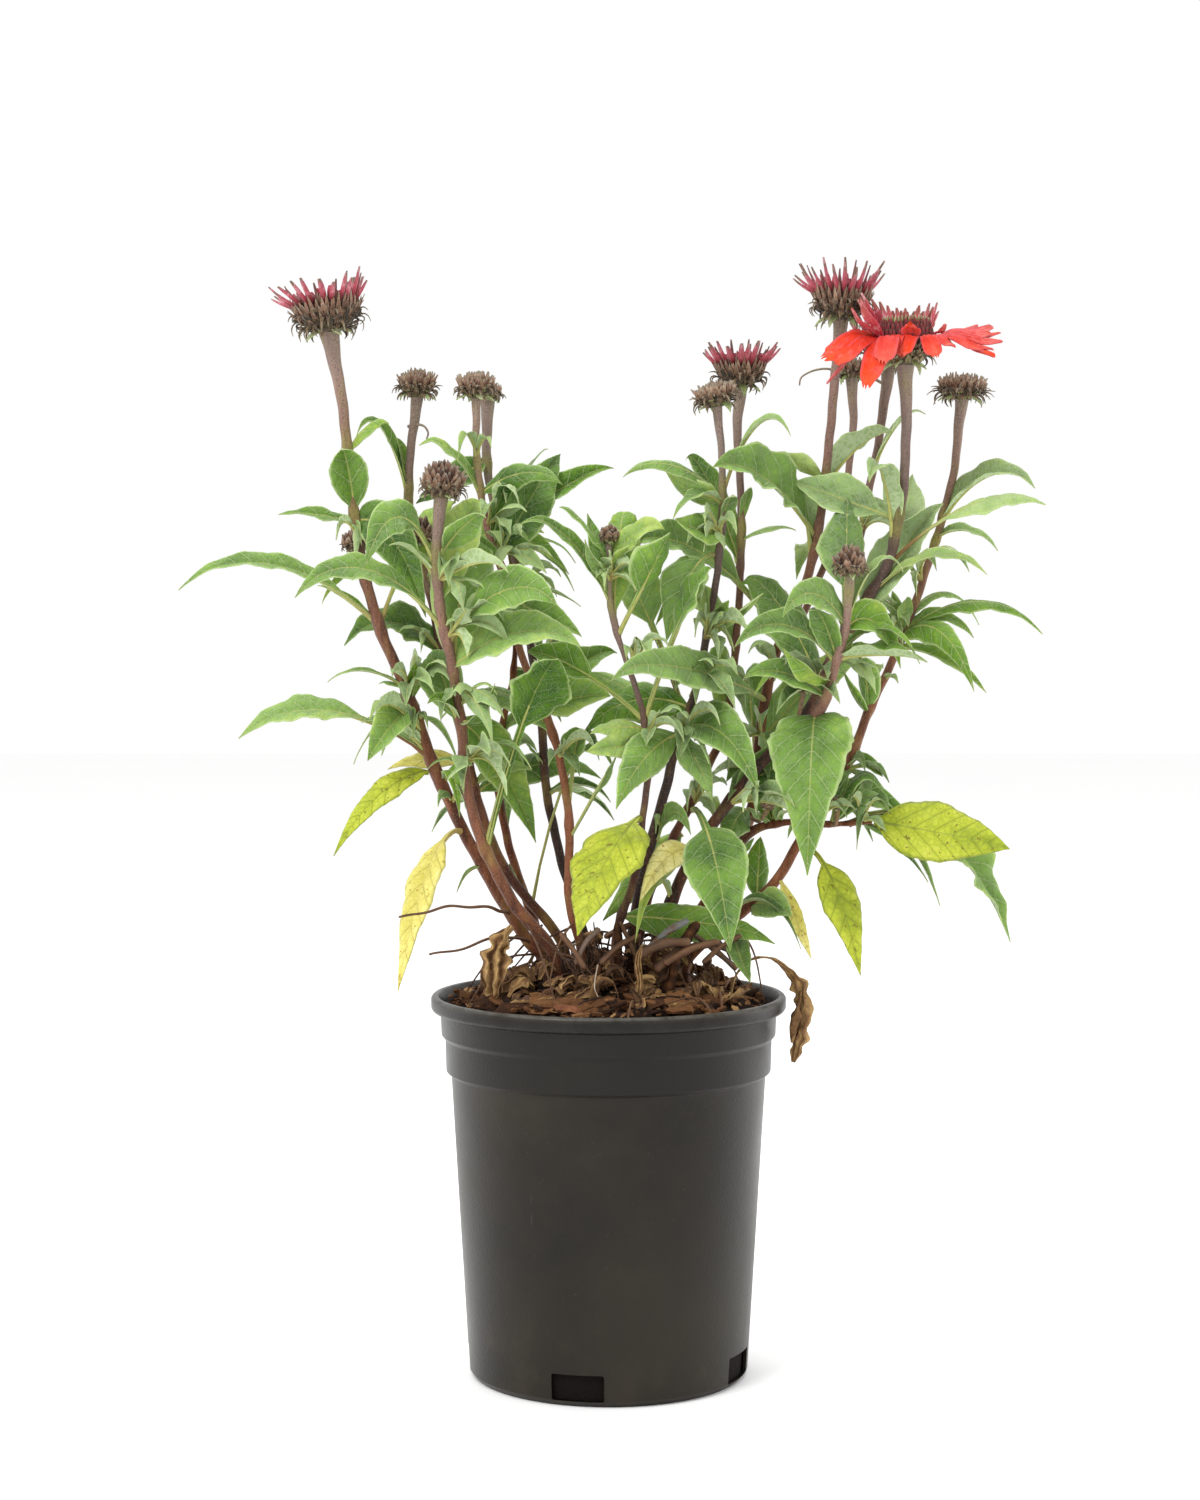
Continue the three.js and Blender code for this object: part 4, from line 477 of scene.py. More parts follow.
def both_faces(top, bottom):
    """Faces of a closed sheet from its upper and lower grids of points."""
    rows, cols = top.shape[:2]
    n = rows * cols
    up = quads(rows, cols)[:, ::-1]
    down = np.roll(up[:, ::-1], 1, axis=1) + n
    i = np.arange(rows - 1)
    rim = np.stack([i * cols, (i + 1) * cols, n + (i + 1) * cols, n + i * cols], 1)
    left, right = rim[:, ::-1], rim + cols - 1
    j = np.arange(cols - 1)
    foot = np.stack([j, j + 1, n + j + 1, n + j], 1)
    head = foot[:, ::-1] + (rows - 1) * cols
    return np.concatenate([top.reshape(-1, 3), bottom.reshape(-1, 3)]), [up, down, left, right,
                                                                         foot, head]


def strap(soup, foot, heading, ending, across, length, widths, thick, rows, fold, **data):
    """A narrow tapered strip that bends from one direction to another."""
    t = np.linspace(0, 1, rows)
    heading, ending = unit(heading), unit(ending)
    directions = unit(heading + (ending - heading) * t[:, None])
    steps = (directions[:-1] + directions[1:]) / 2 * length / (rows - 1)
    path = np.asarray(foot, float) + np.r_[np.zeros((1, 3)), np.cumsum(steps, axis=0)]
    side = unit(across - (directions @ np.asarray(across))[:, None] * directions)
    normal = np.cross(side, directions)
    half = np.interp(t, np.linspace(0, 1, len(widths)), widths)[:, None] / 2
    q = np.array([-1, 0, 1.0])
    grid = (path[:, None] + side[:, None] * (half * q)[..., None]
            + normal[:, None] * (fold * half * np.abs(q))[..., None])
    body = thick / 2 * (1 - 0.5 * t)[:, None, None] * normal[:, None]
    soup.add(*both_faces(grid + body, grid - body), s=np.tile(np.repeat(t, 3), 2), **data)


# ---- materials ----------------------------------------------------------------------------

# how much deeper every colour is than its code
DEPTH = 0.78


def rgb(code, gain=1.0):
    """The linear colour of a code such as "7d9420", made deeper by DEPTH and lighter by gain."""
    parts = [int(code[i:i + 2], 16) / 255 for i in (0, 2, 4)]
    linear = [c / 12.92 if c <= 0.04045 else ((c + 0.055) / 1.055) ** 2.4 for c in parts]
    return [min(1.0, c * gain * DEPTH) for c in linear] + [1.0]


class Wire:
    """What comes out of a node: it can be added to, taken from and multiplied."""

    def __init__(self, paint, socket):
        self.paint, self.socket = paint, socket

    def __add__(self, other):
        return self.paint.math("ADD", self, other)

    def __sub__(self, other):
        return self.paint.math("SUBTRACT", self, other)

    def __mul__(self, other):
        return self.paint.math("MULTIPLY", self, other)


class Paint:
    """A material with one Principled shader, and short names for the nodes that feed it."""

    def __init__(self, name, **sockets):
        self.material = bpy.data.materials.new(name)
        self.material.use_nodes = True
        self.tree = self.material.node_tree
        self.shader = self.tree.nodes["Principled BSDF"]
        for key, value in sockets.items():
            self.shader.inputs[key.replace("_", " ")].default_value = value
        self.where = Wire(self, self.tree.nodes.new("ShaderNodeTexCoord").outputs["Object"])

    def put(self, socket, value):
        """Feed a socket with a wire, a colour code or a number."""
        if isinstance(value, Wire):
            self.tree.links.new(value.socket, socket)
        else:
            socket.default_value = rgb(value) if isinstance(value, str) else value

    def attr(self, name):
        node = self.tree.nodes.new("ShaderNodeAttribute")
        node.attribute_name = name
        return Wire(self, node.outputs["Fac"])

    def math(self, kind, a, b=0.0, clamp=False):
        node = self.tree.nodes.new("ShaderNodeMath")
        node.operation = kind
        node.use_clamp = clamp
        self.put(node.inputs[0], a)
        self.put(node.inputs[1], b)
        return Wire(self, node.outputs[0])

    def step(self, value, low, high, start=0.0, end=1.0):
        """A soft step from start to end as the value goes from low to high."""
        node = self.tree.nodes.new("ShaderNodeMapRange")
        node.interpolation_type = "SMOOTHSTEP"
        self.put(node.inputs["Value"], value)
        for key, number in (("From Min", low), ("From Max", high), ("To Min", start),
                            ("To Max", end)):
            node.inputs[key].default_value = number
        return Wire(self, node.outputs["Result"])

    def mix(self, share, a, b):
        node = self.tree.nodes.new("ShaderNodeMix")
        node.data_type = "RGBA"
        self.put(node.inputs[0], share)
        self.put(node.inputs[6], a)
        self.put(node.inputs[7], b)
        return Wire(self, node.outputs[2])

    def noise(self, scale, detail=2.0, rough=0.5, stretch=None):
        """Cloudy noise; stretch scales it along each axis."""
        node = self.tree.nodes.new("ShaderNodeTexNoise")
        node.inputs["Scale"].default_value = scale
        node.inputs["Detail"].default_value = detail
        node.inputs["Roughness"].default_value = rough
        where = self.where
        if stretch:
            mapping = self.tree.nodes.new("ShaderNodeMapping")
            mapping.inputs["Scale"].default_value = stretch
            self.put(mapping.inputs["Vector"], where)
            where = Wire(self, mapping.outputs[0])
        self.put(node.inputs["Vector"], where)
        return Wire(self, node.outputs["Fac"])

    def cells(self, scale):
        """The distance to the nearest border between cells."""
        node = self.tree.nodes.new("ShaderNodeTexVoronoi")
        node.feature = "DISTANCE_TO_EDGE"
        node.inputs["Scale"].default_value = scale
        self.put(node.inputs["Vector"], self.where)
        return Wire(self, node.outputs["Distance"])

    def ramp(self, value, *stops):
        node = self.tree.nodes.new("ShaderNodeValToRGB")
        ramp = node.color_ramp
        while len(ramp.elements) < len(stops):
            ramp.elements.new(0.5)
        for element, (at, colour) in zip(ramp.elements, stops):
            element.position = at
            element.color = rgb(colour)
        self.put(node.inputs["Fac"], value)
        return Wire(self, node.outputs["Color"])

    def height(self):
        """Z above the floor, in metres."""
        node = self.tree.nodes.new("ShaderNodeSeparateXYZ")
        self.put(node.inputs[0], self.where)
        return Wire(self, node.outputs["Z"])

    def bump(self, height, distance, strength=1.0):
        node = self.tree.nodes.new("ShaderNodeBump")
        node.inputs["Strength"].default_value = strength
        node.inputs["Distance"].default_value = distance
        self.put(node.inputs["Height"], height)
        self.tree.links.new(node.outputs["Normal"], self.shader.inputs["Normal"])

    def colour(self, value):
        self.put(self.shader.inputs["Base Color"], value)

    def rough(self, value):
        self.put(self.shader.inputs["Roughness"], value)


def leaf_paint(name, top_dark, top_light, patch, young, under, vein, rib, foot, spots=None):
    """Blade quilted between sunken pale veins, with a rib; the lower face is greyer."""
    p = Paint(name, IOR=1.4, Specular_IOR_Level=0.3, Sheen_Weight=0.08, Sheen_Roughness=0.4)
    tint = p.attr("tint")
    line = p.math("ABSOLUTE", p.math("FRACT", p.attr("phase")) - 0.5)
    painted_cushion_light = p.step(line, 0.0, 0.4)
    cell = p.cells(330)
    pad = p.step(cell, 0.0, 0.3)
    margin = p.math("POWER", p.attr("edge"), 2.0)
    tone = p.noise(70, 2, 0.5) * 0.75 + tint * 0.55
    # painted light and shade: the middle of each cushion between the veins is lighter, the valleys
    # along the veins darker
    tone = tone + painted_cushion_light * pad * 0.14
    # painted shade: darker towards the midrib, where the fold lies, and lighter towards the margins
    tone = tone + (margin - 0.5) * 0.16
    upper = p.ramp(tone, (0.28, top_dark), (0.74, top_light), (1.0, patch))
    lower = p.mix(tint * 0.5 + tone * 0.6, rgb(under, 0.58), rgb(under, 1.05))
    fresh = p.mix(p.step(tone, 0.3, 0.8), rgb(young, 0.5), rgb(young, 1.0))
    if not spots:
        ridge = p.step(cell, 0.3, 0.02) * 0.38 + 0.22
        lower = p.mix(ridge, lower, "cbd9b4")
        fresh = p.mix(ridge, fresh, "cbd9b4")
    face = p.mix(p.attr("face"), p.mix(p.attr("pale"), upper, fresh), lower)
    veins = p.step(line, 0.055, 0.018)
    net = p.step(cell, 0.07, 0.015)
    lit = p.mix(net * 0.2, face, vein)
    clear = p.step(tint, 0.0, 0.5, 0.22, 0.5)
    lit = p.mix(veins * clear, lit, vein)
    if spots:
        speck = p.step(p.noise(420, 1), 0.66, 0.72) * 0.8
        lit = p.mix(speck, lit, spots)
    wide = p.math("ABSOLUTE", p.attr("across"))
    reach = p.step(p.attr("s"), 0.0, 0.9, 0.8, 0.25) * p.step(p.attr("face"), 0.0, 1.0, 0.6, 1.0)
    middle = p.step(wide - reach, 0.14, -0.14)
    middle = middle * p.step(tint, 0.0, 0.4, 0.3, 0.62)
    solid = p.math("MAXIMUM", middle, p.attr("rib"), clamp=True)
    red = p.step(p.attr("s"), 0.12, -0.4) * p.step(tint, 0.25, 0.6)
    stalk = p.mix(red, rib, foot)
    lit = p.mix(solid, lit, stalk)
    # a pale rim along the margin: partly the leaf's pale hairs, partly a painted highlight where
    # light catches the edge
    edge = p.step(p.attr("edge"), 0.86, 0.97)
    lit = p.mix(edge * 0.6, lit, rgb(vein, 1.12))
    p.colour(lit)
    relief = pad * 0.35 + veins * -0.8
    soft = p.math("MAXIMUM", p.attr("pale"), p.attr("face") * 0.6)
    pucker = p.noise(230, 1) * p.step(soft, 0.0, 0.6, 1.6, 3.6)
    relief = relief + pucker
    p.bump(relief, 0.0008, 0.5)
    p.rough(p.step(p.attr("face"), 0.0, 1.0, 0.5, 0.72))
    return p.material


# ---- where the leaves are -----------------------------------------------------------------

def stem_path(name):
    """Places along a stem, from inside the soil or from the stem that it branches off."""
    path = [place(p) for p in STEMS[name]["route"]]
    if "from" not in STEMS[name]:
        path.insert(0, np.array([path[0][0], path[0][1], SOIL["foot"]]))
    return np.array(path)


def trunk(name):
    """The stem that a branch is part of, or the stem itself."""
    return STEMS[name].get("from", name)


def on_stem(name, at):
    """The place on a stem at a height, or across on a level branch, and its radius there."""
    stem = STEMS[name]
    axis = 0 if stem.get("level") else 1
    route = stem["route"]
    i = 0
    while i < len(route) - 2 and route[i + 1][axis] < at:
        i += 1
    t = (at - route[i][axis]) / (route[i + 1][axis] - route[i][axis])
    point = place(route[i]) * (1 - t) + place(route[i + 1]) * t
    return point, stem["r"][0] + (stem["r"][1] - stem["r"][0]) * (i + t) / (len(route) - 1)


def leaf_controls(start, tip, lift):
    """The four points that give the middle line of a leaf as a Bezier curve."""
    way = tip - start
    a, b = start + way * 0.33, start + way * 0.75
    for point in (a, b):
        point[2] += lift * 4 / 3
    return np.array([start, a, b, tip])


def bezier(c, t):
    t = np.asarray(t, float)[:, None]
    return ((1 - t) ** 3 * c[0] + 3 * (1 - t) ** 2 * t * c[1] + 3 * (1 - t) * t ** 2 * c[2]
            + t ** 3 * c[3])


def leaf_frame(c, roll, t):
    """Directions along, across and out of a leaf at places on its middle line."""
    t = np.asarray(t, float)[:, None]
    along = unit((1 - t) ** 2 * (c[1] - c[0]) + 2 * (1 - t) * t * (c[2] - c[1])
                 + t ** 2 * (c[3] - c[2]))
    heading = unit((c[3] - c[0]) * [1, 1, 0])
    across = np.cross(heading, UP)
    turn = -math.radians(roll) * (1 if across[1] > 0 else -1)
    side = unit(across * math.cos(turn) + np.cross(along, across) * math.sin(turn))
    return along, side, unit(np.cross(side, along))


def tree_of(node):
    """The points of a CAD node, ready to be searched by place."""
    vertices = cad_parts[node].data.vertices
    tree = kdtree.KDTree(len(vertices))
    for i, v in enumerate(vertices):
        tree.insert(v.co, i)
    tree.balance()
    return tree


def placed_leaf(tree, start, tip_at, lift, roll):
    """The bend that the part gave this leaf, found by its tip in the CAD node."""
    nearest, found = 0.05 * MM, None
    for deeper, higher in BENDS:
        c = leaf_controls(start, tip_at(deeper), lift + higher)
        normal = leaf_frame(c, roll, [1.0])[2][0] * BLADE / 2
        off = max(tree.find(Vector((c[3] + s * normal) * MM))[2] for s in (1, -1))
        if off < nearest:
            nearest, found = off, c
    return found


def all_leaves():
    """Every green leaf: stem, control points, width, roll, stalk share and how young it is."""
    trees = {name: tree_of(f"stem_{name[1:]}") for name in STEMS if "from" not in STEMS[name]}
    leaves = []
    for name, stem in STEMS.items():
        for at, across, up, depth, width, lift, roll, *stalk in stem["leaves"]:
            start = on_stem(name, at)[0]
            c = placed_leaf(trees[trunk(name)], start,
                            lambda deeper: place([across, up, depth + deeper]), lift, roll)
            if c is not None:
                leaves.append((name, c, width * SLIM, roll, stalk[0] if stalk else 0, 0))
    for i, name in enumerate(BACK["stems"]):
        seed = 40 + 17 * i
        route = STEMS[name]["route"]
        top = min(BACK["high"], route[-1][1] - 30)
        up = max(BACK["low"] + 12 * chance(seed), route[0][1])
        while up < top:
            n = seed + up
            start = on_stem(name, up)[0]
            angle = math.radians(90 + between([-62, 62], n))
            length = between(BACK["length"], n + 1)
            drop = between(BACK["drop"], n + 2)
            c = placed_leaf(trees[trunk(name)], start, lambda deeper: start + np.array([
                length * math.cos(angle), length * math.sin(angle) + deeper * 0.6, -drop]), 9, 0)
            if c is not None:
                leaves.append((name, c, between(BACK["width"], n + 3), 0, 0, 0))
            up += BACK["step"]
    for name, rows in SPRIGS.items():
        for at, across, up, depth, width, lift, roll, *stalk in rows:
            c = leaf_controls(on_stem(name, at)[0], place([across, up, depth]), lift)
            leaves.append((name, c, width, roll, stalk[0] if stalk else 0, 0.5))
    return leaves + [one for i, row in enumerate(TUFTS) for one in tuft(row, 3000 + 31 * i)]


def tuft(row, seed):
    """Young leaves that spread and curl from a node round the middle of their bunch."""
    name, at, across, up, depth, count, length = row
    foot = on_stem(name, at)[0]
    middle = place([across, up, depth])
    leaves = []
    for k in range(count):
        n = seed + 7 * k
        turn = 2 * math.pi * (k + 0.7 * chance(n)) / count
        reach = length * between([0.45, 0.85], n + 1)
        tip = middle + reach * np.array([math.cos(turn), 0.8 * between([-1, 0.4], n + 2),
                                         0.75 * math.sin(turn) - 0.25])
        c = leaf_controls(foot, tip, between([2, 11], n + 3))
        c[1] = c[1] * 0.6 + (middle + UP * 3) * 0.4
        leaves.append((name, c, between([0.26, 0.44], n + 4) * length, between([-60, 60], n + 5),
                       between([0.1, 0.3], n + 6), 1))
    return leaves


# ---- leaves -------------------------------------------------------------------------------

def paleness(c, young, seed):
    """Young leaves, and those high on the right, are paler and greyer."""
    high = smooth(c[3][2], 335, 420) * smooth(c[3][0], 40, 120)
    return min(1.0, 0.25 * chance(seed) + 0.45 * high + 0.45 * young)


# places across a leaf, from its left margin to its right one, on wide and on narrow leaves
WIDE_GRID = np.array([-1, -0.84, -0.62, -0.38, -0.18, -0.06, 0.06, 0.18, 0.38, 0.62, 0.84, 1])
NARROW_GRID = np.array([-1, -0.62, -0.25, -0.08, 0.08, 0.25, 0.62, 1])
WIDE_LEAF = 12
SMALL_LEAF = 8
RIB_SIDES = 7


def leaf(soup, c, width, roll, stalk, seed, fold=None, ripple=None, tint=None, young=0,
         front=False):
    """A blade with toothed, waved edges, quilted between its veins, on its rib and stalk."""
    fine = width >= WIDE_LEAF
    table = np.array(LARGE if fine else SMALL if width >= SMALL_LEAF else TINY)
    length = np.linalg.norm(np.diff(bezier(c, np.linspace(0, 1, 24)), axis=0), axis=1).sum()
    blade = length * (1 - stalk)
    rows = int(np.clip(blade / (1.9 if fine else 2.0), 10, 46 if fine else 24))
    s = np.linspace(0, 1, rows)
    if stalk > 0:
        s = np.r_[np.linspace(-stalk, 0, 5)[:-1] / (1 - stalk), s]
    t = stalk + (1 - stalk) * s
    grow = np.clip(s, 0, 1)
    shape = np.maximum(hermite(table[:, 0], table[:, 1], grow), 0.012)
    shape = np.where(s < 0, table[0, 1] * (0.45 + 0.55 * (1 + s * (1 - stalk) / max(stalk, 1e-6))),
                     shape)
    if stalk == 0:
        shape = shape * np.where(s < 0.1, 0.6 + 4 * s, 1)
    half = shape * width / 2 * (1 - 0.1 * smooth(s, 0.4, 0.8))
    mm = s * blade
    pitch = float(np.clip(width * 0.3, 3.0, 6.0))
    tooth = (mm / pitch + chance(seed)) % 1.0
    bite = (0.035 * half + 0.2) * (tooth ** 1.5 - 0.5) * smooth(s, 0.12, 0.3)
    bite = bite * (1 - smooth(s, 0.9, 0.98))
    q = WIDE_GRID if fine else NARROW_GRID
    span, size = half[:, None], np.abs(q)
    across = span * q + np.where(size == 1, np.sign(q), 0) * bite[:, None]
    if fold is None:
        fold = between([0.25, 0.75] if chance(seed + 5) > 0.3 else [-0.45, -0.15], seed + 6)
        fold = fold * (1 + young)
    ripple = between([0.07, 0.22], seed + 7) * (1 + young) if ripple is None else ripple
    waves = np.clip(blade / 19, 1.3, 5)
    turn = 2 * np.pi * waves * s[:, None]
    lobe = np.where(q < 0, chance(seed + 1), chance(seed + 2)) * 2 * np.pi
    free = smooth(s, 0.02, 0.25)[:, None]
    lift = (fold * span * size ** 1.3 - 0.12 * span * q ** 4
            + ripple * span * q ** 2 * np.sin(turn + lobe) * free
            + 0.35 * ripple * span * q ** 4 * np.sin(2.3 * turn + 2 * lobe) * free)
    veins = np.clip(blade / 8.5, 3.2, 10)
    phase = (mm[:, None] - 1.15 * (span * size)) / blade * veins + 0.5
    cushion = np.abs(np.sin(np.pi * (phase - 0.5))) ** 0.8
    window = np.sin(np.pi * np.clip(size, 0, 1)) ** 0.7 * smooth(s, 0.03, 0.2)[:, None]
    lift = lift + (1.0 if fine else 0.45) * cushion * window * np.clip(span / 8, 0.3, 1.3)
    lift = lift - 0.4 * np.exp(-(q / 0.12) ** 2) * np.clip(span / 5, 0, 1)
    along, side, normal = leaf_frame(c, roll, t)
    toward = unit(np.array([EYE["x"], -EYE["dist"], EYE["z"]]) - bezier(c, [0.5])[0])
    if front and normal[len(t) // 2] @ toward < -0.12:
        side, normal = -side, -normal
    twist = math.radians(between([-22, 22], seed + 8)) * grow ** 2
    side, normal = (side * np.cos(twist)[:, None] + normal * np.sin(twist)[:, None],
                    normal * np.cos(twist)[:, None] - side * np.sin(twist)[:, None])
    droop = between([0.0, 0.1], seed + 9) * blade * np.clip((grow - 0.72) / 0.28, 0, 1) ** 2
    centre = bezier(c, t) - UP * (droop * np.clip(1 - np.abs(along[:, 2]), 0, 1))[:, None]
    grid = centre[:, None] + side[:, None] * across[..., None] + normal[:, None] * lift[..., None]
    thick = (0.22 - 0.08 * size)[None, :, None] * normal[:, None]
    if tint is None:
        tint = 0.62 * chance(seed + 3) + 0.38 * smooth(c[3][2], 250, 380)
    pale = paleness(c, young, seed + 4) * min(1, 0.2 + 2 * tint)
    soup.add(*both_faces(grid + thick, grid - thick), across=np.tile(across.ravel(), 2),
             phase=np.tile(phase.ravel(), 2), s=np.tile(np.repeat(s, len(q)), 2),
             edge=np.tile(np.broadcast_to(size, across.shape).ravel(), 2),
             face=np.repeat([0.0, 1.0], across.size), rib=0.0, tint=tint, pale=pale)
    thickness = float(np.clip(0.032 * width + 0.42, 0.45, 1.2))
    radius = thickness * (0.1 + 0.9 * (1 - grow) ** 1.7)
    radius = radius * (1 + 0.5 * np.exp(-(t * length / 3.5) ** 2))
    line = centre - normal * (radius * 0.55 + 0.12)[:, None]
    line, radius, s = line[:-3], radius[:-3], s[:-3]
    soup.add(*tube(line, radius, RIB_SIDES), rib=1.0, s=np.r_[np.repeat(s, RIB_SIDES), s[0], s[-1]],
             tint=tint, face=1.0, across=0.0, phase=0.0, pale=pale)


# ---- stems --------------------------------------------------------------------------------

# how light the bark is, where it isn't left to chance
STEM_TONE = {"s5": 0.62, "s14": 0.62, "s6": 0.08, "s8": 0.05, "s2": 0.42, "s4": 0.35, "s7": 0.2,
             "s13": 0.14, "s1": 0.38, "s9": 0.3, "s15": 0.45}
# the height from which the last two nodes of a stem are green
GREEN_FROM = 350
STEM_SIDES = 18


def stem(soup, name, seed):
    """A ribbed, knotty bar that swells where it branches off and below a head."""
    data = STEMS[name]
    path, index, run = spline(stem_path(name), 2.2)
    share = index / (len(stem_path(name)) - 1)
    heads = [head for head, row in HEADS.items() if row[0] == name]
    if heads:
        axis = leaning(HEADS[heads[0]][3])[0]
        path = np.concatenate([path, [head_foot(heads[0]) + axis * 0.9]])
        share, run = np.r_[share, 1], np.r_[run, run[-1] + 2]
    left = run[-1] - run
    flared = "flare" in data
    radius = (data["r"][0] + (data["r"][1] - data["r"][0]) * share) * (0.92 - 0.06 * share)
    if flared:
        radius = radius + (1.06 * data["flare"] - 0.86 * data["r"][1]) * np.exp(-left / 14)
    node = 0 * run
    nodes = sorted({round(row[0] / 6) * 6 for row in data["leaves"]})
    for at in nodes:
        near = np.linalg.norm(path - on_stem(name, at)[0], axis=1)
        radius = radius + 0.5 * np.exp(-(near / 3.2) ** 2)
        if at in nodes[-2:] and at > GREEN_FROM:
            node = np.maximum(node, 0.8 * np.exp(-(near / 5) ** 2))
    if "from" in data:
        radius = radius + 0.8 * np.exp(-run / 6)
    wobble = 0.14 * np.sin(run / 5.1 + seed) + 0.1 * np.sin(run / 2.3 + 2 * seed)
    path = path + np.stack([wobble, np.roll(wobble, 5), 0 * wobble], 1)

    soft = np.exp(-left / 75) if flared else 0 * left
    neck = np.exp(-left / 9) if flared else 0 * left

    def ridges(turn):
        return 0.045 * np.cos(5 * turn + seed) + 0.02 * np.cos(9 * turn)

    def ring(values):
        return np.r_[np.repeat(values, STEM_SIDES), values[0], values[-1]]

    soup.add(*tube(path, radius, STEM_SIDES, ridges), high=ring(share), soft=ring(soft),
             node=ring(node), neck=ring(neck), tone=STEM_TONE.get(name, 0.3 + 0.2 * chance(seed)))


def stem_paint():
    """Brown speckled bark, greener below the upper leaves and greyer below a head."""
    p = Paint("stem_bark", IOR=1.42, Specular_IOR_Level=0.22, Sheen_Weight=0.05)
    streak = p.noise(330, 3, 0.6, (1, 1, 0.1))
    mottle = p.noise(95, 3, 0.6, (1, 1, 0.45))
    grain = p.noise(1500, 1)
    tone = p.attr("tone") + (streak - 0.5) * 0.7
    tone = tone + (mottle - 0.5) * 0.6
    bark = p.ramp(tone, (0.0, "20130e"), (0.28, "5c2e16"), (0.58, "935735"), (0.9, "ab6850"))
    down = p.mix(p.step(p.attr("high"), 0.0, 0.2), "5c3016", bark)
    soft = p.mix(streak, "8f756c", "b09f96")
    lit = p.mix(p.math("MULTIPLY", p.attr("soft"), 0.95, clamp=True), down, soft)
    green = p.math("ADD", p.step(mottle, 0.52, 0.72) * 0.3, p.attr("node") * 0.75, clamp=True)
    lit = p.mix(green, lit, p.mix(streak, "6d6a2c", "a9a853"))
    rim = p.attr("neck") * p.step(streak, 0.42, 0.6)
    lit = p.mix(rim * 0.6, lit, "8b8d5e")
    lit = p.mix(p.step(grain, 0.58, 0.68) * 0.45, lit, "2e1c18")
    lit = p.mix(p.step(grain, 0.4, 0.3) * 0.25, lit, "b59a86")
    p.colour(lit)
    p.bump(streak * 1.5 + grain, 0.0006, 0.6)
    p.rough(p.step(p.attr("soft"), 0, 0.6, 0.52, 0.75))
    return p.material


# ---- heads --------------------------------------------------------------------------------

def leaning(degrees):
    """Directions up an axis that leans to the right, and across it to the right."""
    tilt = math.radians(degrees)
    return (np.array([math.sin(tilt), 0, math.cos(tilt)]),
            np.array([math.cos(tilt), 0, -math.sin(tilt)]))


def head_foot(name):
    stem_name = HEADS[name][0]
    return stem_path(stem_name)[-1] + UP * (GAP + STEMS[stem_name]["flare"] * 0.14)


# buds that are rounder, paler and have broader bracts than the flat-topped ones
ROUND_BUDS = ("e", "i", "n", "o", "p", "q", "r", "t")
CORE_SIDES = 24


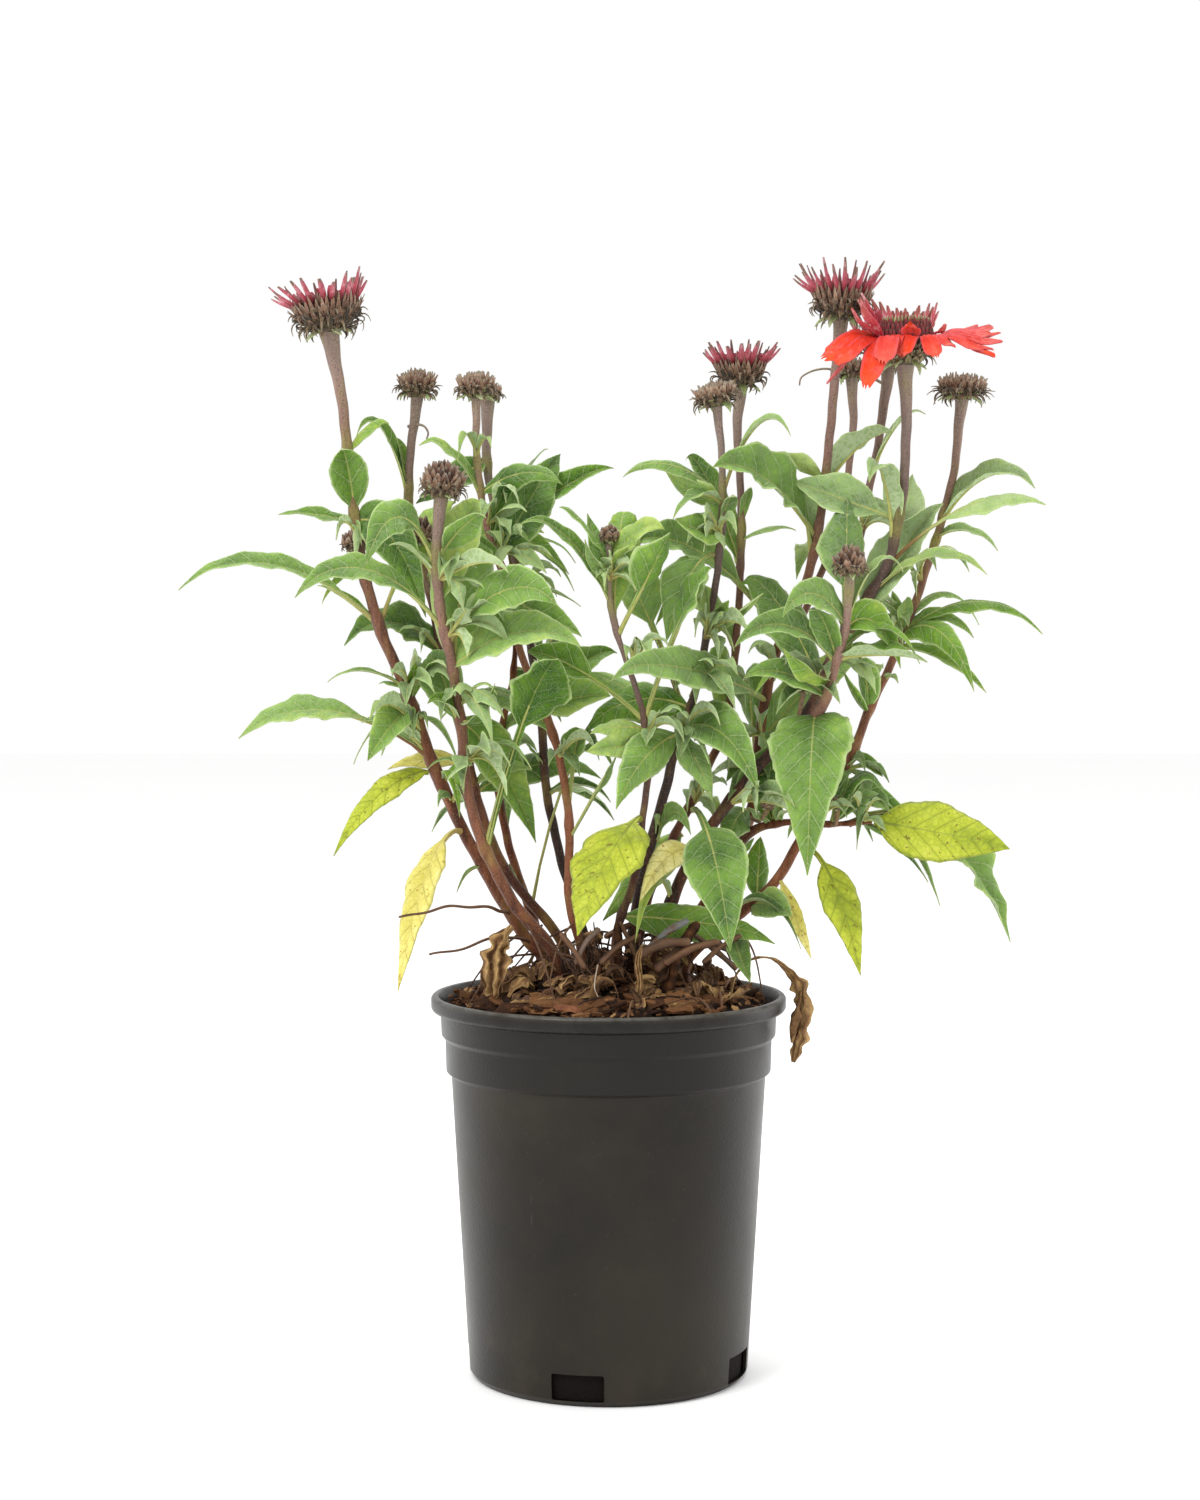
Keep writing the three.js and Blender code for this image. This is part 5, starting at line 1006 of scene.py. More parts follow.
class Head:
    """A flower head: places round its axis, its receptacle, florets and bracts."""

    def __init__(self, name, foot=None):
        row = HEADS.get(name) or SMALL_BUDS[name]
        self.name = name
        self.R, self.H, self.form = row[1], row[2], row[4]
        self.foot = head_foot(name) if foot is None else foot
        self.axis, self.right = leaning(row[3])
        self.soup = Soup()
        self.seed = 31 * (ord(name) - ord("a") + 1)

    def out(self, turn):
        """The direction away from the axis, at a turn counted from the right."""
        return self.right * math.cos(turn) + AWAY * math.sin(turn)

    def beside(self, turn):
        return self.out(turn + QUARTER_TURN)

    def at(self, turn, r, h):
        return self.foot + self.out(turn) * r + self.axis * h

    def core(self, profile):
        """The receptacle: rings through a profile of [radius, height], as shares of the head's."""
        points = [self.at(2 * math.pi * j / CORE_SIDES, r * self.R, h * self.H)
                  for r, h in profile for j in range(CORE_SIDES)]
        points += [self.at(0, 0, profile[end][1] * self.H) for end in (0, -1)]
        self.soup.add(points, capped(len(profile), CORE_SIDES), s=0.1, tone=0.2, green=0.12)

    def florets(self, count, top, rise, rim, length, width, warm=0.0):
        """Pointed florets in a sunflower spiral over a dome."""
        for i in range(count):
            share = math.sqrt((i + 0.5) / count)
            turn = i * math.radians(GOLDEN_ANGLE)
            r = rim * self.R * share
            h = top * self.H + rise * self.H * (1 - share ** 2.4)
            n = self.seed + i
            lean = unit(self.axis + self.out(turn) * (0.9 * share ** 2.2)
                        + self.beside(turn) * 0.16 * (chance(n) - 0.5))
            curl = unit(lean + self.out(turn + HALF_TURN) * 0.3 * (chance(n + 1) - 0.3))
            strap(self.soup, self.at(turn, r, h) - lean * 0.4, lean, curl, self.beside(turn),
                  length * (0.7 + 0.6 * chance(n + 2)), [width, width, width * 0.55, 0.2],
                  width * 0.6, rows=5, fold=0.4, green=0.0, warm=warm,
                  tone=(0.0 if self.name in ROUND_BUDS else 0.52) + 0.65 * chance(n + 3))

    def bracts(self, count, r, h, rise, end, length, width, green, tone=0.5, spread=0.25,
               turned=0.0, warm=0.0):
        """A ring of narrow bracts; rise is the angle up at the foot, end at the tip."""
        for j in range(count):
            n = self.seed + 5 * j + int(97 * h) + int(31 * rise)
            turn = 2 * math.pi * (j + turned + 0.5 * (chance(n) - 0.5)) / count
            tilt = rise + spread * (chance(n + 1) - 0.5)
            stop = end + 2.2 * spread * (chance(n + 2) - 0.5)
            heading = self.out(turn) * math.cos(tilt) + self.axis * math.sin(tilt)
            ending = (self.out(turn + 0.5 * (chance(n + 3) - 0.5)) * math.cos(stop)
                      + self.axis * math.sin(stop))
            strap(self.soup, self.at(turn, r * self.R, h * self.H), heading, ending,
                  self.beside(turn), length * (0.8 + 0.4 * chance(n + 4)),
                  [width, width * 1.05, width * 0.6, 0.2], width * 0.3, rows=7, fold=0.3,
                  tone=tone + 0.08 + 0.4 * (chance(n + 2) - 0.5),
                  green=green * (0.7 + 0.3 * chance(n)), warm=warm)

    def hooks(self, count, r, h, rise, end, length, turned=0.0, green=0.12):
        """Thin dry bract tips that curl out and down."""
        self.bracts(count, r, h, rise, end, length, 1.7, green, 0.05, 0.8, turned)

    def leafy(self, count, r, h, length, width, turned=0.3):
        """A few green pointed bracts that hang round the foot of the head."""
        self.bracts(count, r, h, -0.25, -1.4, length, width, 1.0, 0.75, 0.9, turned)

    def bud(self):
        """A closed head: flat on top, or rounder and with broader bracts."""
        R, H = self.R, self.H
        rise, broad, many = (0.46, 1.45, 0.8) if self.name in ROUND_BUDS else (0.2, 1.0, 1.0)
        self.core([[0.28, -0.02], [0.4, 0.08], [0.6, 0.2], [0.8, 0.36], [0.88, 0.52], [0.84, 0.66],
                   [0.6, 0.76], [0.3, 0.8]])
        self.florets(int(np.clip(R * R, 22, 90) * many), 0.54, rise, 0.92, 0.32 * H + 0.4,
                     1.9 * broad)
        rows = [(1.7, 2, 0.86, 0.44, 1.2, 1.35, 0.42, 2.3, 0.0, 0.55, 0.45, 0.0),
                (1.5, 2, 0.8, 0.3, 0.95, 1.15, 0.42, 2.4, 0.05, 0.5, 0.55, 0.5),
                (1.1, 3, 0.56, 0.15, 0.85, 0.8, 0.42, 2.5, 0.12, 0.45, 0.4, 0.2),
                (0.8, 3, 0.36, 0.03, 1.0, 0.7, 0.36, 2.3, 0.3, 0.4, 0.3, 0.6)]
        for each, more, r, h, low, end, length, width, green, tone, spread, turned in rows:
            self.bracts(int(each * R * many) + more, r, h, low, end, length * H, width * broad,
                        green, tone, spread, turned)
        if self.name in ROUND_BUDS:
            self.bracts(int(1.2 * R), 0.8, 0.4, 0.75, -0.2, 0.52 * R, 2.3, 0.1, 0.2, 0.7, 0.3)
        self.hooks(int(1.3 * R) + 4, 0.88, 0.42, 0.5, -1.0, 0.54 * R)
        self.hooks(int(1.2 * R) + 4, 0.84, 0.3, 0.3, -1.8, 0.76 * R, 0.5)
        self.hooks(int(0.8 * R) + 3, 0.68, 0.2, 0.1, -2.1, 0.74 * R, 0.25)
        self.leafy(int(0.3 * R) + 2, 0.6, 0.14, 0.6 * R, 2.9)
        self.bracts(int(0.3 * R) + 2, 0.74, 0.26, 0.9, 0.6, 0.34 * R, 2.4, 1.0, 0.75, 0.5, 0.6)

    def half(self):
        """A half-open head: bracts that spread below the young rays."""
        R, H = self.R, self.H
        self.core([[0.3, -0.02], [0.5, 0.12], [0.74, 0.28], [0.86, 0.5], [0.88, 0.72],
                   [0.78, 0.78], [0.4, 0.8]])
        self.florets(int(R * R * 0.6), 0.74, 0.1, 0.78, 2.8, 1.3, warm=0.85)
        self.bracts(int(2.8 * R), 0.85, 0.66, 1.25, 1.3, 0.36 * H, 1.6, 0.0, 0.3, 0.25)
        self.bracts(int(2.4 * R), 0.88, 0.5, 1.1, 1.2, 0.46 * H, 1.9, 0.0, 0.5, 0.35, 0.5)
        self.bracts(int(1.9 * R), 0.78, 0.34, 1.0, 1.1, 0.46 * H, 2.1, 0.0, 0.55, 0.4)
        self.bracts(int(1.4 * R), 0.6, 0.18, 0.8, 0.95, 0.42 * H, 2.2, 0.04, 0.5, 0.4, 0.4)
        self.bracts(int(0.9 * R), 0.42, 0.06, 0.8, 0.7, 0.36 * H, 2.4, 0.2, 0.4, 0.4, 0.2)
        self.hooks(int(0.7 * R), 0.9, 0.5, 0.6, -1.3, 0.34 * H)
        self.hooks(int(1.3 * R), 0.84, 0.34, 0.35, -2.2, 0.56 * H, 0.5)
        self.hooks(int(1.4 * R), 0.7, 0.2, 0.2, -2.5, 0.56 * H, 0.2)
        self.hooks(int(0.8 * R), 0.5, 0.1, 0.0, -2.3, 0.5 * H, 0.7)
        self.leafy(int(0.25 * R) + 2, 0.4, 0.08, 0.46 * H, 3.4)

    def open(self):
        """The open head: a broad disc with red florets above its rays."""
        R, H = self.R, self.H
        self.core([[0.32, -0.02], [0.6, 0.22], [0.84, 0.42], [0.92, 0.7], [0.84, 0.9],
                   [0.76, 1.06], [0.34, 1.12]])
        self.florets(int(R * R * 0.8), 0.98, 0.14, 0.74, 3.0, 1.5, warm=1.0)
        for ring, high in enumerate((0.64, 0.79, 0.94)):
            self.bracts(int(2.6 * R), 0.92 - 0.05 * ring, high, 1.5, 1.62, 0.27 * H, 2.2, 0.0,
                        0.5, 0.12, 0.5 * ring, 1.0)
        self.bracts(int(3.2 * R), 0.78, 1.1, 1.45, 1.6, 0.17 * H, 1.0, 0.55, 0.6, 0.5)
        self.bracts(int(2.4 * R), 0.84, 0.4, 0.9, 1.0, 0.26 * H, 1.9, 0.1, 0.4, 0.5, 0.2)
        self.bracts(int(2.0 * R), 0.64, 0.22, 0.6, 0.7, 0.34 * H, 2.1, 0.25, 0.4, 0.5, 0.6)
        self.bracts(int(1.3 * R), 0.72, 0.34, 0.1, -0.9, 0.34 * H, 2.1, 0.35, 0.5, 0.6)
        self.hooks(int(1.5 * R), 0.66, 0.26, 0.1, -2.1, 0.5 * H, 0.5, 0.2)
        self.bracts(int(0.9 * R), 0.4, 0.05, 0.8, 0.5, 0.4 * H, 2.6, 0.3, 0.5, 0.4, 0.2)
        self.leafy(int(0.25 * R) + 2, 0.42, 0.1, 0.46 * H, 3.2)

    def build(self, material):
        getattr(self, self.form)()
        self.soup.make(f"disc_{self.name}", material, "disc", [f"head_{self.name}"])


def small_buds(florets, bark):
    """Side buds on their own thin stalks, each closed and brown like the larger ones."""
    stalks = Soup()
    for name, (stem_name, _, _, _, _, at, across, up, depth) in SMALL_BUDS.items():
        foot = place([across, up, depth])
        start = on_stem(stem_name, at)[0]
        middle = start * 0.5 + foot * 0.5 - UP * 4
        path, index, _ = spline([start, middle, foot + UP * 0.5], 2)
        stalks.add(*tube(path, 0.9 + 0.5 * (index / 2) ** 4, 10), high=0.6, soft=0.4, node=0.3,
                   neck=0, tone=0.45)
        bud = Head(name, foot)
        bud.bud()
        bud.soup.make(f"side_bud_{name}", florets, "disc")
    for route in TENDRILS:
        path, _, run = spline([place(p) for p in route], 1.2)
        stalks.add(*tube(path, 0.75 - 0.35 * run / run[-1], 8), high=0.6, soft=1, node=0,
                   neck=0.6, tone=0.4)
    stalks.make("side_stalks", bark, "leaf")


def head_paint():
    """Brown florets with grey tips, green bracts and dark red young florets."""
    p = Paint("head_florets", IOR=1.42, Sheen_Weight=0.15)
    tone = p.attr("tone") * 0.6 + p.attr("s") * 0.42
    tone = tone + (p.noise(420, 2) - 0.5) * 0.5
    brown = p.ramp(tone, (0.05, "2a1b13"), (0.36, "694a37"), (0.64, "9d7a61"), (1.0, "ccb59c"))
    grey = p.step(p.attr("s"), 0.62, 0.95) * 0.75
    brown = p.mix(grey, brown, "8b8474")
    green = p.ramp(tone, (0.1, "4c5a30"), (0.5, "86a052"), (0.95, "bccb92"))
    lit = p.mix(p.attr("green"), brown, green)
    red = p.ramp(p.attr("s"), (0.0, "2c070a"), (0.55, "6d1a20"), (0.8, "8a2a2c"), (1.0, "7a6a4c"))
    lit = p.mix(p.attr("warm"), lit, red)
    lit = p.mix(p.step(p.noise(1300, 2), 0.5, 0.7) * 0.45, lit, "2e1f1a")
    p.colour(lit)
    p.bump(p.noise(1600, 2), 0.0003, 0.5)
    p.rough(0.75)
    return p.material


def upright_rays(name, material):
    """The rolled young rays of a half-open head, standing on the same shelf as in the part."""
    head = Head(name)
    count, length, left, right = RAYS[name]
    soup = Soup()
    low = head.H * 0.8 + GAP
    aged = 0.9 if name == "h" else 0.0
    # the last number of a ring shifts the crimson along its rays: on the outer ring it is the
    # browning of an older head, on the short inner ring a painted shade, deep crimson inside the
    # cup
    rings = [(count + 9, 0.92, 1.0, 2.9, 0.0, aged), (count // 2 + 4, 0.82, 0.88, 1.7, 0.75, 0.3),
             (2 * count, 0.78, 0.42, 3.4, 0.0, -1.7)]
    for ring, (many, r, scale, widest, old, age_and_painted_shade) in enumerate(rings):
        for j in range(many):
            n = head.seed + 50 + 7 * j + 111 * ring
            turn = 2 * math.pi * (j + 0.5 * chance(j + 7 * head.R) + 0.5 * ring) / many
            share = (1 + math.cos(turn)) / 2
            lean = math.radians(left + (right - left) * share + 22 * (chance(n) - 0.5))
            long = length * scale * (0.66 + 0.48 * chance(j + 11 + head.R)) + 1.6
            lean = lean * (1, 0.6, 0.35)[ring]
            heading = head.out(turn) * math.sin(lean * 1.2) + head.axis * math.cos(lean * 1.2)
            ending = (head.out(turn + 0.5 * (chance(n + 3) - 0.5)) * math.sin(lean * 0.85)
                      + head.axis * math.cos(lean * 0.85))
            wide = widest * (1 - 0.3 * chance(n + 2))
            ends = (0.88, 0.7, 0.58, 0.36) if aged else (1, 0.94, 0.78, 0.45)
            blunt = [wide * k for k in (0.8, 1, 1) + ends]
            strap(soup, head.at(turn, r * head.R, low - 1.8), heading, ending,
                  head.beside(turn), long, blunt, 0.5, rows=12, fold=-0.6,
                  tint=age_and_painted_shade + 0.8 * chance(n + 1), old=old)
    soup.make(f"young_rays_{name}", material, "ray", [f"rays_{name}"])


# how far the margins of a broad ray turn down, as a share of its half width
CUP = 0.16


def petal(soup, head, deg, reach, drop, width, roll, seed, low, old):
    """A broad ray with two grooves along it and a notched tip."""
    rows, q = 24, np.linspace(-1, 1, 11)
    s = np.linspace(0, 1, rows)
    turn = math.radians(deg)
    short = width > 0.5 * (reach + abs(drop))
    shape = hermite([0, 0.12, 0.5, 0.82, 1], [0.6, 0.95, 0.9, 0.5, 0.14] if short
                    else [0.34, 0.6, 1.0, 0.84, 0.4], s)
    r = head.R * 0.9 + (reach + head.R * 0.08) * s
    h = low + 2.4 * np.sin(np.pi * np.minimum(1, s * 1.4)) - drop * s ** 1.6
    outward, beside = head.out(turn), head.out(turn + math.pi / 2)
    path = head.foot + outward * r[:, None] + head.axis * h[:, None]
    slope = unit(np.gradient(path, axis=0))
    up = np.cross(slope, beside)
    tip = (math.radians(roll) * (1 if beside[1] > 0 else -1) * smooth(s, 0, 0.4))[:, None]
    side = beside * np.cos(tip) + up * np.sin(tip)
    normal = np.cross(slope, side)
    half = (shape * width / 2)[:, None]
    notch = 2.2 * np.abs(np.sin(1.5 * np.pi * q)) * (width / 12)
    ends = path[:, None] - slope[:, None] * (notch * smooth(s, 0.8, 1)[:, None])[..., None]
    groove = -0.3 * np.cos(3 * np.pi * q)
    ripple = 0.35 * np.sin(7 * s[:, None] + 5 * chance(seed) + 2 * q)
    lift = (CUP * half * -q ** 2 + groove * smooth(s, 0.05, 0.3)[:, None]
            + ripple * smooth(s, 0.2, 0.6)[:, None])
    swing = (chance(seed + 1) - 0.5) * 2.4 * s ** 2
    grid = (ends + side[:, None] * (half * q + swing[:, None])[..., None]
            + normal[:, None] * lift[..., None])
    body = 0.2 * normal[:, None]
    soup.add(*both_faces(grid + body, grid - body), s=np.tile(np.repeat(s, len(q)), 2),
             tint=chance(seed + 2), old=min(old, 1.0), rose=max(0.0, old - 1),
             q=np.tile(np.tile(q, rows), 2), face=np.repeat([0.0, 1.0], rows * len(q)))


# further rays of the open head, behind and between the others, and whether each is older
MORE_RAYS = [[-160, 22, 12, 9, 30, 0.1], [172, 22, 1.5, 9, 35, 0.3], [-131, 10, 16, 7, 0, 0.2],
             [5, 31, -4.5, 5.5, 30, 0.6], [-21, 24, 6, 5.5, 22, 0.5], [-6, 31, 0.5, 5.5, 35, 0.8],
             [-11, 27, 5, 5, 32, 0.7], [18, 24, -8, 5, 30, 1], [-34, 12, 4, 7, 15, 0.6],
             [28, 10, -9, 4.5, 0, 0.8], [52, 5, -12, 4, 0, 0.9], [-165, 13, -13.5, 5, 0, 1.6],
             [178, 12, -15, 4.5, 0, 1.8]]
# how old the rays of the first table are, by their place in it; from 1 on they turn rose
OLDER = {3: 0.45, 4: 0.2, 6: 0.25, 8: 0.9, 9: 0.75, 11: 0.4, 12: 1.8, 13: 1.3}


def open_rays(material):
    """The wreath of the open head: broad rays round it and a fringe of young ones behind."""
    head = Head("j")
    soup = Soup()
    low = head.H * 0.64 + GAP
    for i, (deg, reach, drop, width, roll) in enumerate(OPEN_RAYS):
        petal(soup, head, deg, reach, drop, width * 1.08, roll, 300 + 9 * i, low,
              OLDER.get(i, 0.0))
    for i, (deg, reach, drop, width, roll, old) in enumerate(MORE_RAYS):
        petal(soup, head, deg, reach, drop, width, roll, 500 + 9 * i, low - 0.4, old)
    count = 26
    for j in range(count):
        turn = math.radians(12 + 172 * (j + 0.5 * chance(j + 77)) / count)
        left = smooth(turn, 1.9, 2.7)
        lean = 0.2 + 0.4 * chance(j + 78) + 0.2 * left
        heading = head.out(turn) * math.sin(lean) + head.axis * math.cos(lean)
        strap(soup, head.at(turn, head.R * 0.86, low + 2.5), heading,
              unit(heading + head.axis * 0.5), head.beside(turn),
              11 + 5 * chance(j + 79) + 6 * left,
              np.array([2.2, 2.8, 3.0, 2.8, 2.2, 0.9]) * (1 + 0.8 * left), 0.5, rows=9, fold=-0.7,
              tint=chance(j + 80), rose=1.0)
    soup.make("open_rays_j", material, "open_ray", ["rays_j"])


def ray_paint():
    """Crimson young rays, darker at the foot, with pale streaks; old ones are brown."""
    p = Paint("ray_crimson", IOR=1.4, Sheen_Weight=0.1)
    along = p.attr("s") + p.attr("tint") * 0.18
    lit = p.ramp(along, (0.0, "37080c"), (0.26, "84202b"), (0.5, "b84656"), (0.84, "b45a66"),
                 (1.0, "78604e"))
    # pale streaks along the rays, towards their tips: partly their own streaks, partly a painted
    # highlight
    streak = p.step(p.noise(620, 2, 0.5, (1, 1, 0.12)), 0.52, 0.64)
    streak = streak * p.step(p.attr("s"), 0.25, 0.6)
    lit = p.mix(streak * 0.6, lit, "dc9aa2")
    lit = p.mix(p.attr("old"), lit, "66463c")
    p.colour(lit)
    p.bump(p.noise(900, 2, 0.5, (1, 1, 0.2)), 0.0003, 0.5)
    p.rough(0.55)
    return p.material


def petal_paint():
    """Orange-red rays, faded to coral where they are older, and rose where they are young."""
    p = Paint("ray_orange", IOR=1.4, Specular_IOR_Level=0.25)
    stripe = p.noise(420, 3, 0.6, (1, 1, 0.35))
    along = p.attr("s") + (stripe - 0.4) * 0.9
    fresh = p.ramp(along, (0.0, "8e1a14"), (0.3, "cc2a16"), (0.62, "ea3310"), (1.0, "f24e20"))
    faded = p.ramp(along, (0.0, "8a1a26"), (0.35, "c42c32"), (0.7, "d84e4a"), (1.0, "e27470"))
    rose = p.ramp(p.attr("s") + p.attr("tint") * 0.2, (0.0, "701018"), (0.3, "b42e3e"),
                  (0.75, "d2606a"), (1.0, "a8685c"))
    streak = p.step(p.noise(650, 2, 0.5, (1, 1, 0.15)), 0.52, 0.62)
    rose = p.mix(streak * 0.7, rose, "ecb8bc")
    patch = p.step(p.noise(210, 2, 0.6), 0.5, 0.6) * 0.45
    lit = p.mix(p.math("MAXIMUM", p.attr("old"), patch), fresh, faded)
    lit = p.mix(p.attr("rose"), lit, rose)
    # painted shade: darker red along the two grooves of each ray
    rib = p.math("ABSOLUTE", p.math("COSINE", p.attr("q") * 4.71))
    lit = p.mix(p.step(rib, 0.3, 0.0) * 0.3, lit, "8f1c18")
    side = p.step(p.math("ABSOLUTE", p.attr("q")), 0.7, 1.0)
    lit = p.mix(side * 0.45, lit, "cf5a68")
    lit = p.mix(p.attr("face") * 0.3, lit, "b02c30")
    p.colour(lit)
    p.bump(stripe + p.noise(1200, 2), 0.0004, 0.6)
    p.rough(0.5)
    return p.material


# ---- pot ----------------------------------------------------------------------------------

# how far a corner of the pot's section is eased
EASE = 0.45


def rounded(profile):
    """The profile with each corner eased by a short arc."""
    out = [profile[0]]
    p = np.array(profile, float)
    for before, corner, after in zip(p, p[1:], p[2:]):
        a, b = unit(before - corner), unit(after - corner)
        reach = min(EASE, np.linalg.norm(before - corner) / 3, np.linalg.norm(after - corner) / 3)
        start, end = corner + a * reach, corner + b * reach
        out += [start, (start + end + 2 * corner) / 4, end]
    return out + [profile[-1]]


def window_block(deg):
    """A block with rounded edges, as large as a drainage window."""
    wide, tall = WINDOW["width"] / 2, (WINDOW["high"] - WINDOW["low"]) / 2
    middle, edge = (WINDOW["low"] + WINDOW["high"]) / 2, 1.2
    outline = []
    for turn in np.radians(np.arange(0, 360, 22.5)):
        c, s = math.cos(turn), math.sin(turn)
        outline.append([math.copysign(wide - edge, c) + edge * c,
                        middle + math.copysign(tall - edge, s) + edge * s])
    n = len(outline)
    c, s = math.cos(math.radians(deg)), math.sin(math.radians(deg))
    outside, inside = -74, -58
    points = [[x * c - y * s, x * s + y * c, z] for y in (outside, inside) for x, z in outline]
    ring = np.arange(n)
    faces = [list(ring), list(ring[::-1] + n)]
    faces += [[int(k), int(k) + n, (int(k) + 1) % n + n, (int(k) + 1) % n] for k in ring]
    mesh = bpy.data.meshes.new("window")
    mesh.from_pydata((np.array(points) * MM).tolist(), [], [list(map(int, f)) for f in faces])
    return mesh


def pot(material):
    """The pot turned round its axis, with the drainage windows cut out."""
    profile = rounded(POT_OUTSIDE + POT_INSIDE)
    fine = [profile[0]]
    for a, b in zip(profile, profile[1:]):
        count = max(1, int(np.linalg.norm(np.subtract(b, a)) / 9))
        fine += [np.add(a, np.subtract(b, a) * i / count) for i in range(1, count + 1)]
    sides = 144
    mesh = bmesh.new()
    rings = []
    for r, z in fine:
        if r < 1e-6:
            rings.append([mesh.verts.new((0, 0, z * MM))])
            continue
        rings.append([mesh.verts.new((r * math.cos(t) * MM, r * math.sin(t) * MM, z * MM))
                      for t in np.arange(sides) * 2 * math.pi / sides])
    for a, b in zip(rings, rings[1:]):
        for j in range(sides):
            k = (j + 1) % sides
            corners = [a[j % len(a)], a[k % len(a)], b[k % len(b)], b[j % len(b)]]
            mesh.faces.new(list(dict.fromkeys(corners)))
    bmesh.ops.recalc_face_normals(mesh, faces=mesh.faces)
    data = bpy.data.meshes.new("pot_body")
    mesh.to_mesh(data)
    mesh.free()
    piece = linked("pot_body", data)
    cutters = []
    for deg in WINDOWS:
        cutter = linked("window", window_block(deg))
        cut = piece.modifiers.new("window", "BOOLEAN")
        cut.object = cutter
        cut.operation = "DIFFERENCE"
        cut.solver = "EXACT"
        cutters.append(cutter)
    made = bpy.data.meshes.new_from_object(piece.evaluated_get(
        bpy.context.evaluated_depsgraph_get()))
    piece.modifiers.clear()
    piece.data = made
    for cutter in cutters:
        bpy.data.objects.remove(cutter)
    dress(made, material, 38)
    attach(piece, "root")
    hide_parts("pot")


def pot_paint():
    """Black plastic with flow marks, scratches and dust at the foot; painted shade over its upper
    part, and a lip painted lighter, partly by wear and partly as a painted highlight.
    """
    p = Paint("pot_plastic", IOR=1.4, Specular_IOR_Level=0.3)
    cloud = p.noise(14, 4, 0.6)
    lit = p.ramp(cloud, (0.3, "15120c"), (0.53, "231e16"), (0.78, "302b1f"))
    specks = p.step(p.noise(950, 2, 0.6), 0.69, 0.75)
    lit = p.mix(specks * 0.22, lit, "6d6861")
    scratch = p.step(p.noise(240, 3, 0.7, (1, 1, 0.05)), 0.69, 0.73)
    patch = p.step(p.noise(30, 2), 0.5, 0.65)
    scratch = scratch * patch
    lit = p.mix(scratch * 0.25, lit, "5d5a55")
    z = p.height()
    low = p.step(z, 0.05, 0.0) * p.step(p.noise(60, 4), 0.45, 0.8)
    lit = p.mix(low * 0.4, lit, "5b4a3a")
    rim = p.step(z, 0.1705, 0.1725) * p.step(p.noise(70, 4, 0.7), 0.3, 0.7)
    lit = p.mix(rim * 0.1, lit, "77736c")
    warm = p.step(z, 0.15, 0.02) * p.step(p.noise(9, 2), 0.3, 0.7)
    lit = p.mix(warm * 0.7, lit, "2c281f")
    # painted shade: the upper part of the pot, from the first step up to the lip, painted darker
    painted_rim_shade = p.step(z, 0.1415, 0.1435) * p.step(z, 0.1768, 0.1755)
    lit = p.mix(painted_rim_shade * 0.55, lit, "0b0a09")
    # the top edge of the lip painted lighter: partly worn scuffs, partly a painted highlight along
    # the edge
    worn = p.step(z, 0.1768, 0.178) * p.step(p.noise(90, 3, 0.7), 0.25, 0.6)
    lit = p.mix(worn * 0.3, lit, "8a8880")
    p.colour(lit)
    p.bump(p.noise(1100, 2) + p.noise(46, 3) * 1.4, 0.0004, 0.35)
    p.rough(p.step(cloud, 0.2, 0.8, 0.28, 0.42))
    return p.material


# ---- soil and litter ----------------------------------------------------------------------

def soil_height(x, y):
    """The part's soil surface."""
    r = math.hypot(x, y)
    lumps = math.sin(x * 0.31 + 1) * math.cos(y * 0.27 + 2) + math.sin(x * 0.13 - y * 0.19)
    return (SOIL["edge"] + SOIL["crown"] * math.exp(-((r / SOIL["spread"]) ** 2))
            + SOIL["rough"] * lumps * min(1, (78 - r) / 12))


def crumbs(x, y):
    """Small rises and hollows of the bark compost."""
    rough = sum(noise.noise(Vector((x, y, 7)) / size) * size for size in (9, 4.2, 2, 1.1))
    return 0.42 * rough * min(1, (77 - math.hypot(x, y)) / 5)


def soil_bed(soup):
    """The rough top of the compost, its side along the inside of the pot, and its bottom."""
    sides, radii = 150, np.r_[1, np.arange(3, 75.9, 1.35), 75.9]
    wall = [[75.9, 166], [74.1, 159.8], [73.8, 145.2], [71.6, 142.8], [63, 2.8]]
    turns = np.arange(sides) * 2 * math.pi / sides
    ground = [polar(r, t) for r in radii for t in turns]
    points = [[x, y, soil_height(x, y) + crumbs(x, y)] for x, y in ground]
    points += [[*polar(r, t), z] for r, z in wall for t in turns]
    points += [[0, 0, soil_height(0, 0)], [0, 0, 2.8]]
    depth = np.array([p[2] for p in points])
    faces = [block[:, ::-1] for block in capped(len(radii) + len(wall), sides)]
    # the side and bottom of the compost, seen through the drainage windows, get a lower tone:
    # painted shade inside the pot
    soup.add(points, faces, tone=np.where(depth < 150, -0.12, 0.16))


def chip(soup, centre, length, width, thick, turn, tip, n, tone):
    """A splinter of bark: an uneven slab with split ends."""
    corners = 7
    rows = []
    for k in range(corners):
        a = 2 * math.pi * (k + 0.5 * (chance(n + k) - 0.5)) / corners
        r = 0.72 + 0.4 * chance(n + 20 + k)
        rows.append([r * length / 2 * math.cos(a), r * width / 2 * math.sin(a)])
    layers = []
    for z, inset, salt in ((-0.5, 0.86, 40), (0.1, 1.0, 50), (0.5, 0.78, 60)):
        layers += [[x * inset, y * inset, thick * (z + 0.3 * (chance(n + salt + k) - 0.5))]
                   for k, (x, y) in enumerate(rows)]
    layers += [[0, 0, -thick / 2], [length * 0.1, 0, thick * 0.62]]
    spin = (Matrix.Rotation(turn, 3, "Z") @ Matrix.Rotation(tip[0], 3, "X")
            @ Matrix.Rotation(tip[1], 3, "Y"))
    points = np.array(layers) @ np.array(spin).T + np.asarray(centre)
    soup.add(points, capped(3, corners), tone=tone)


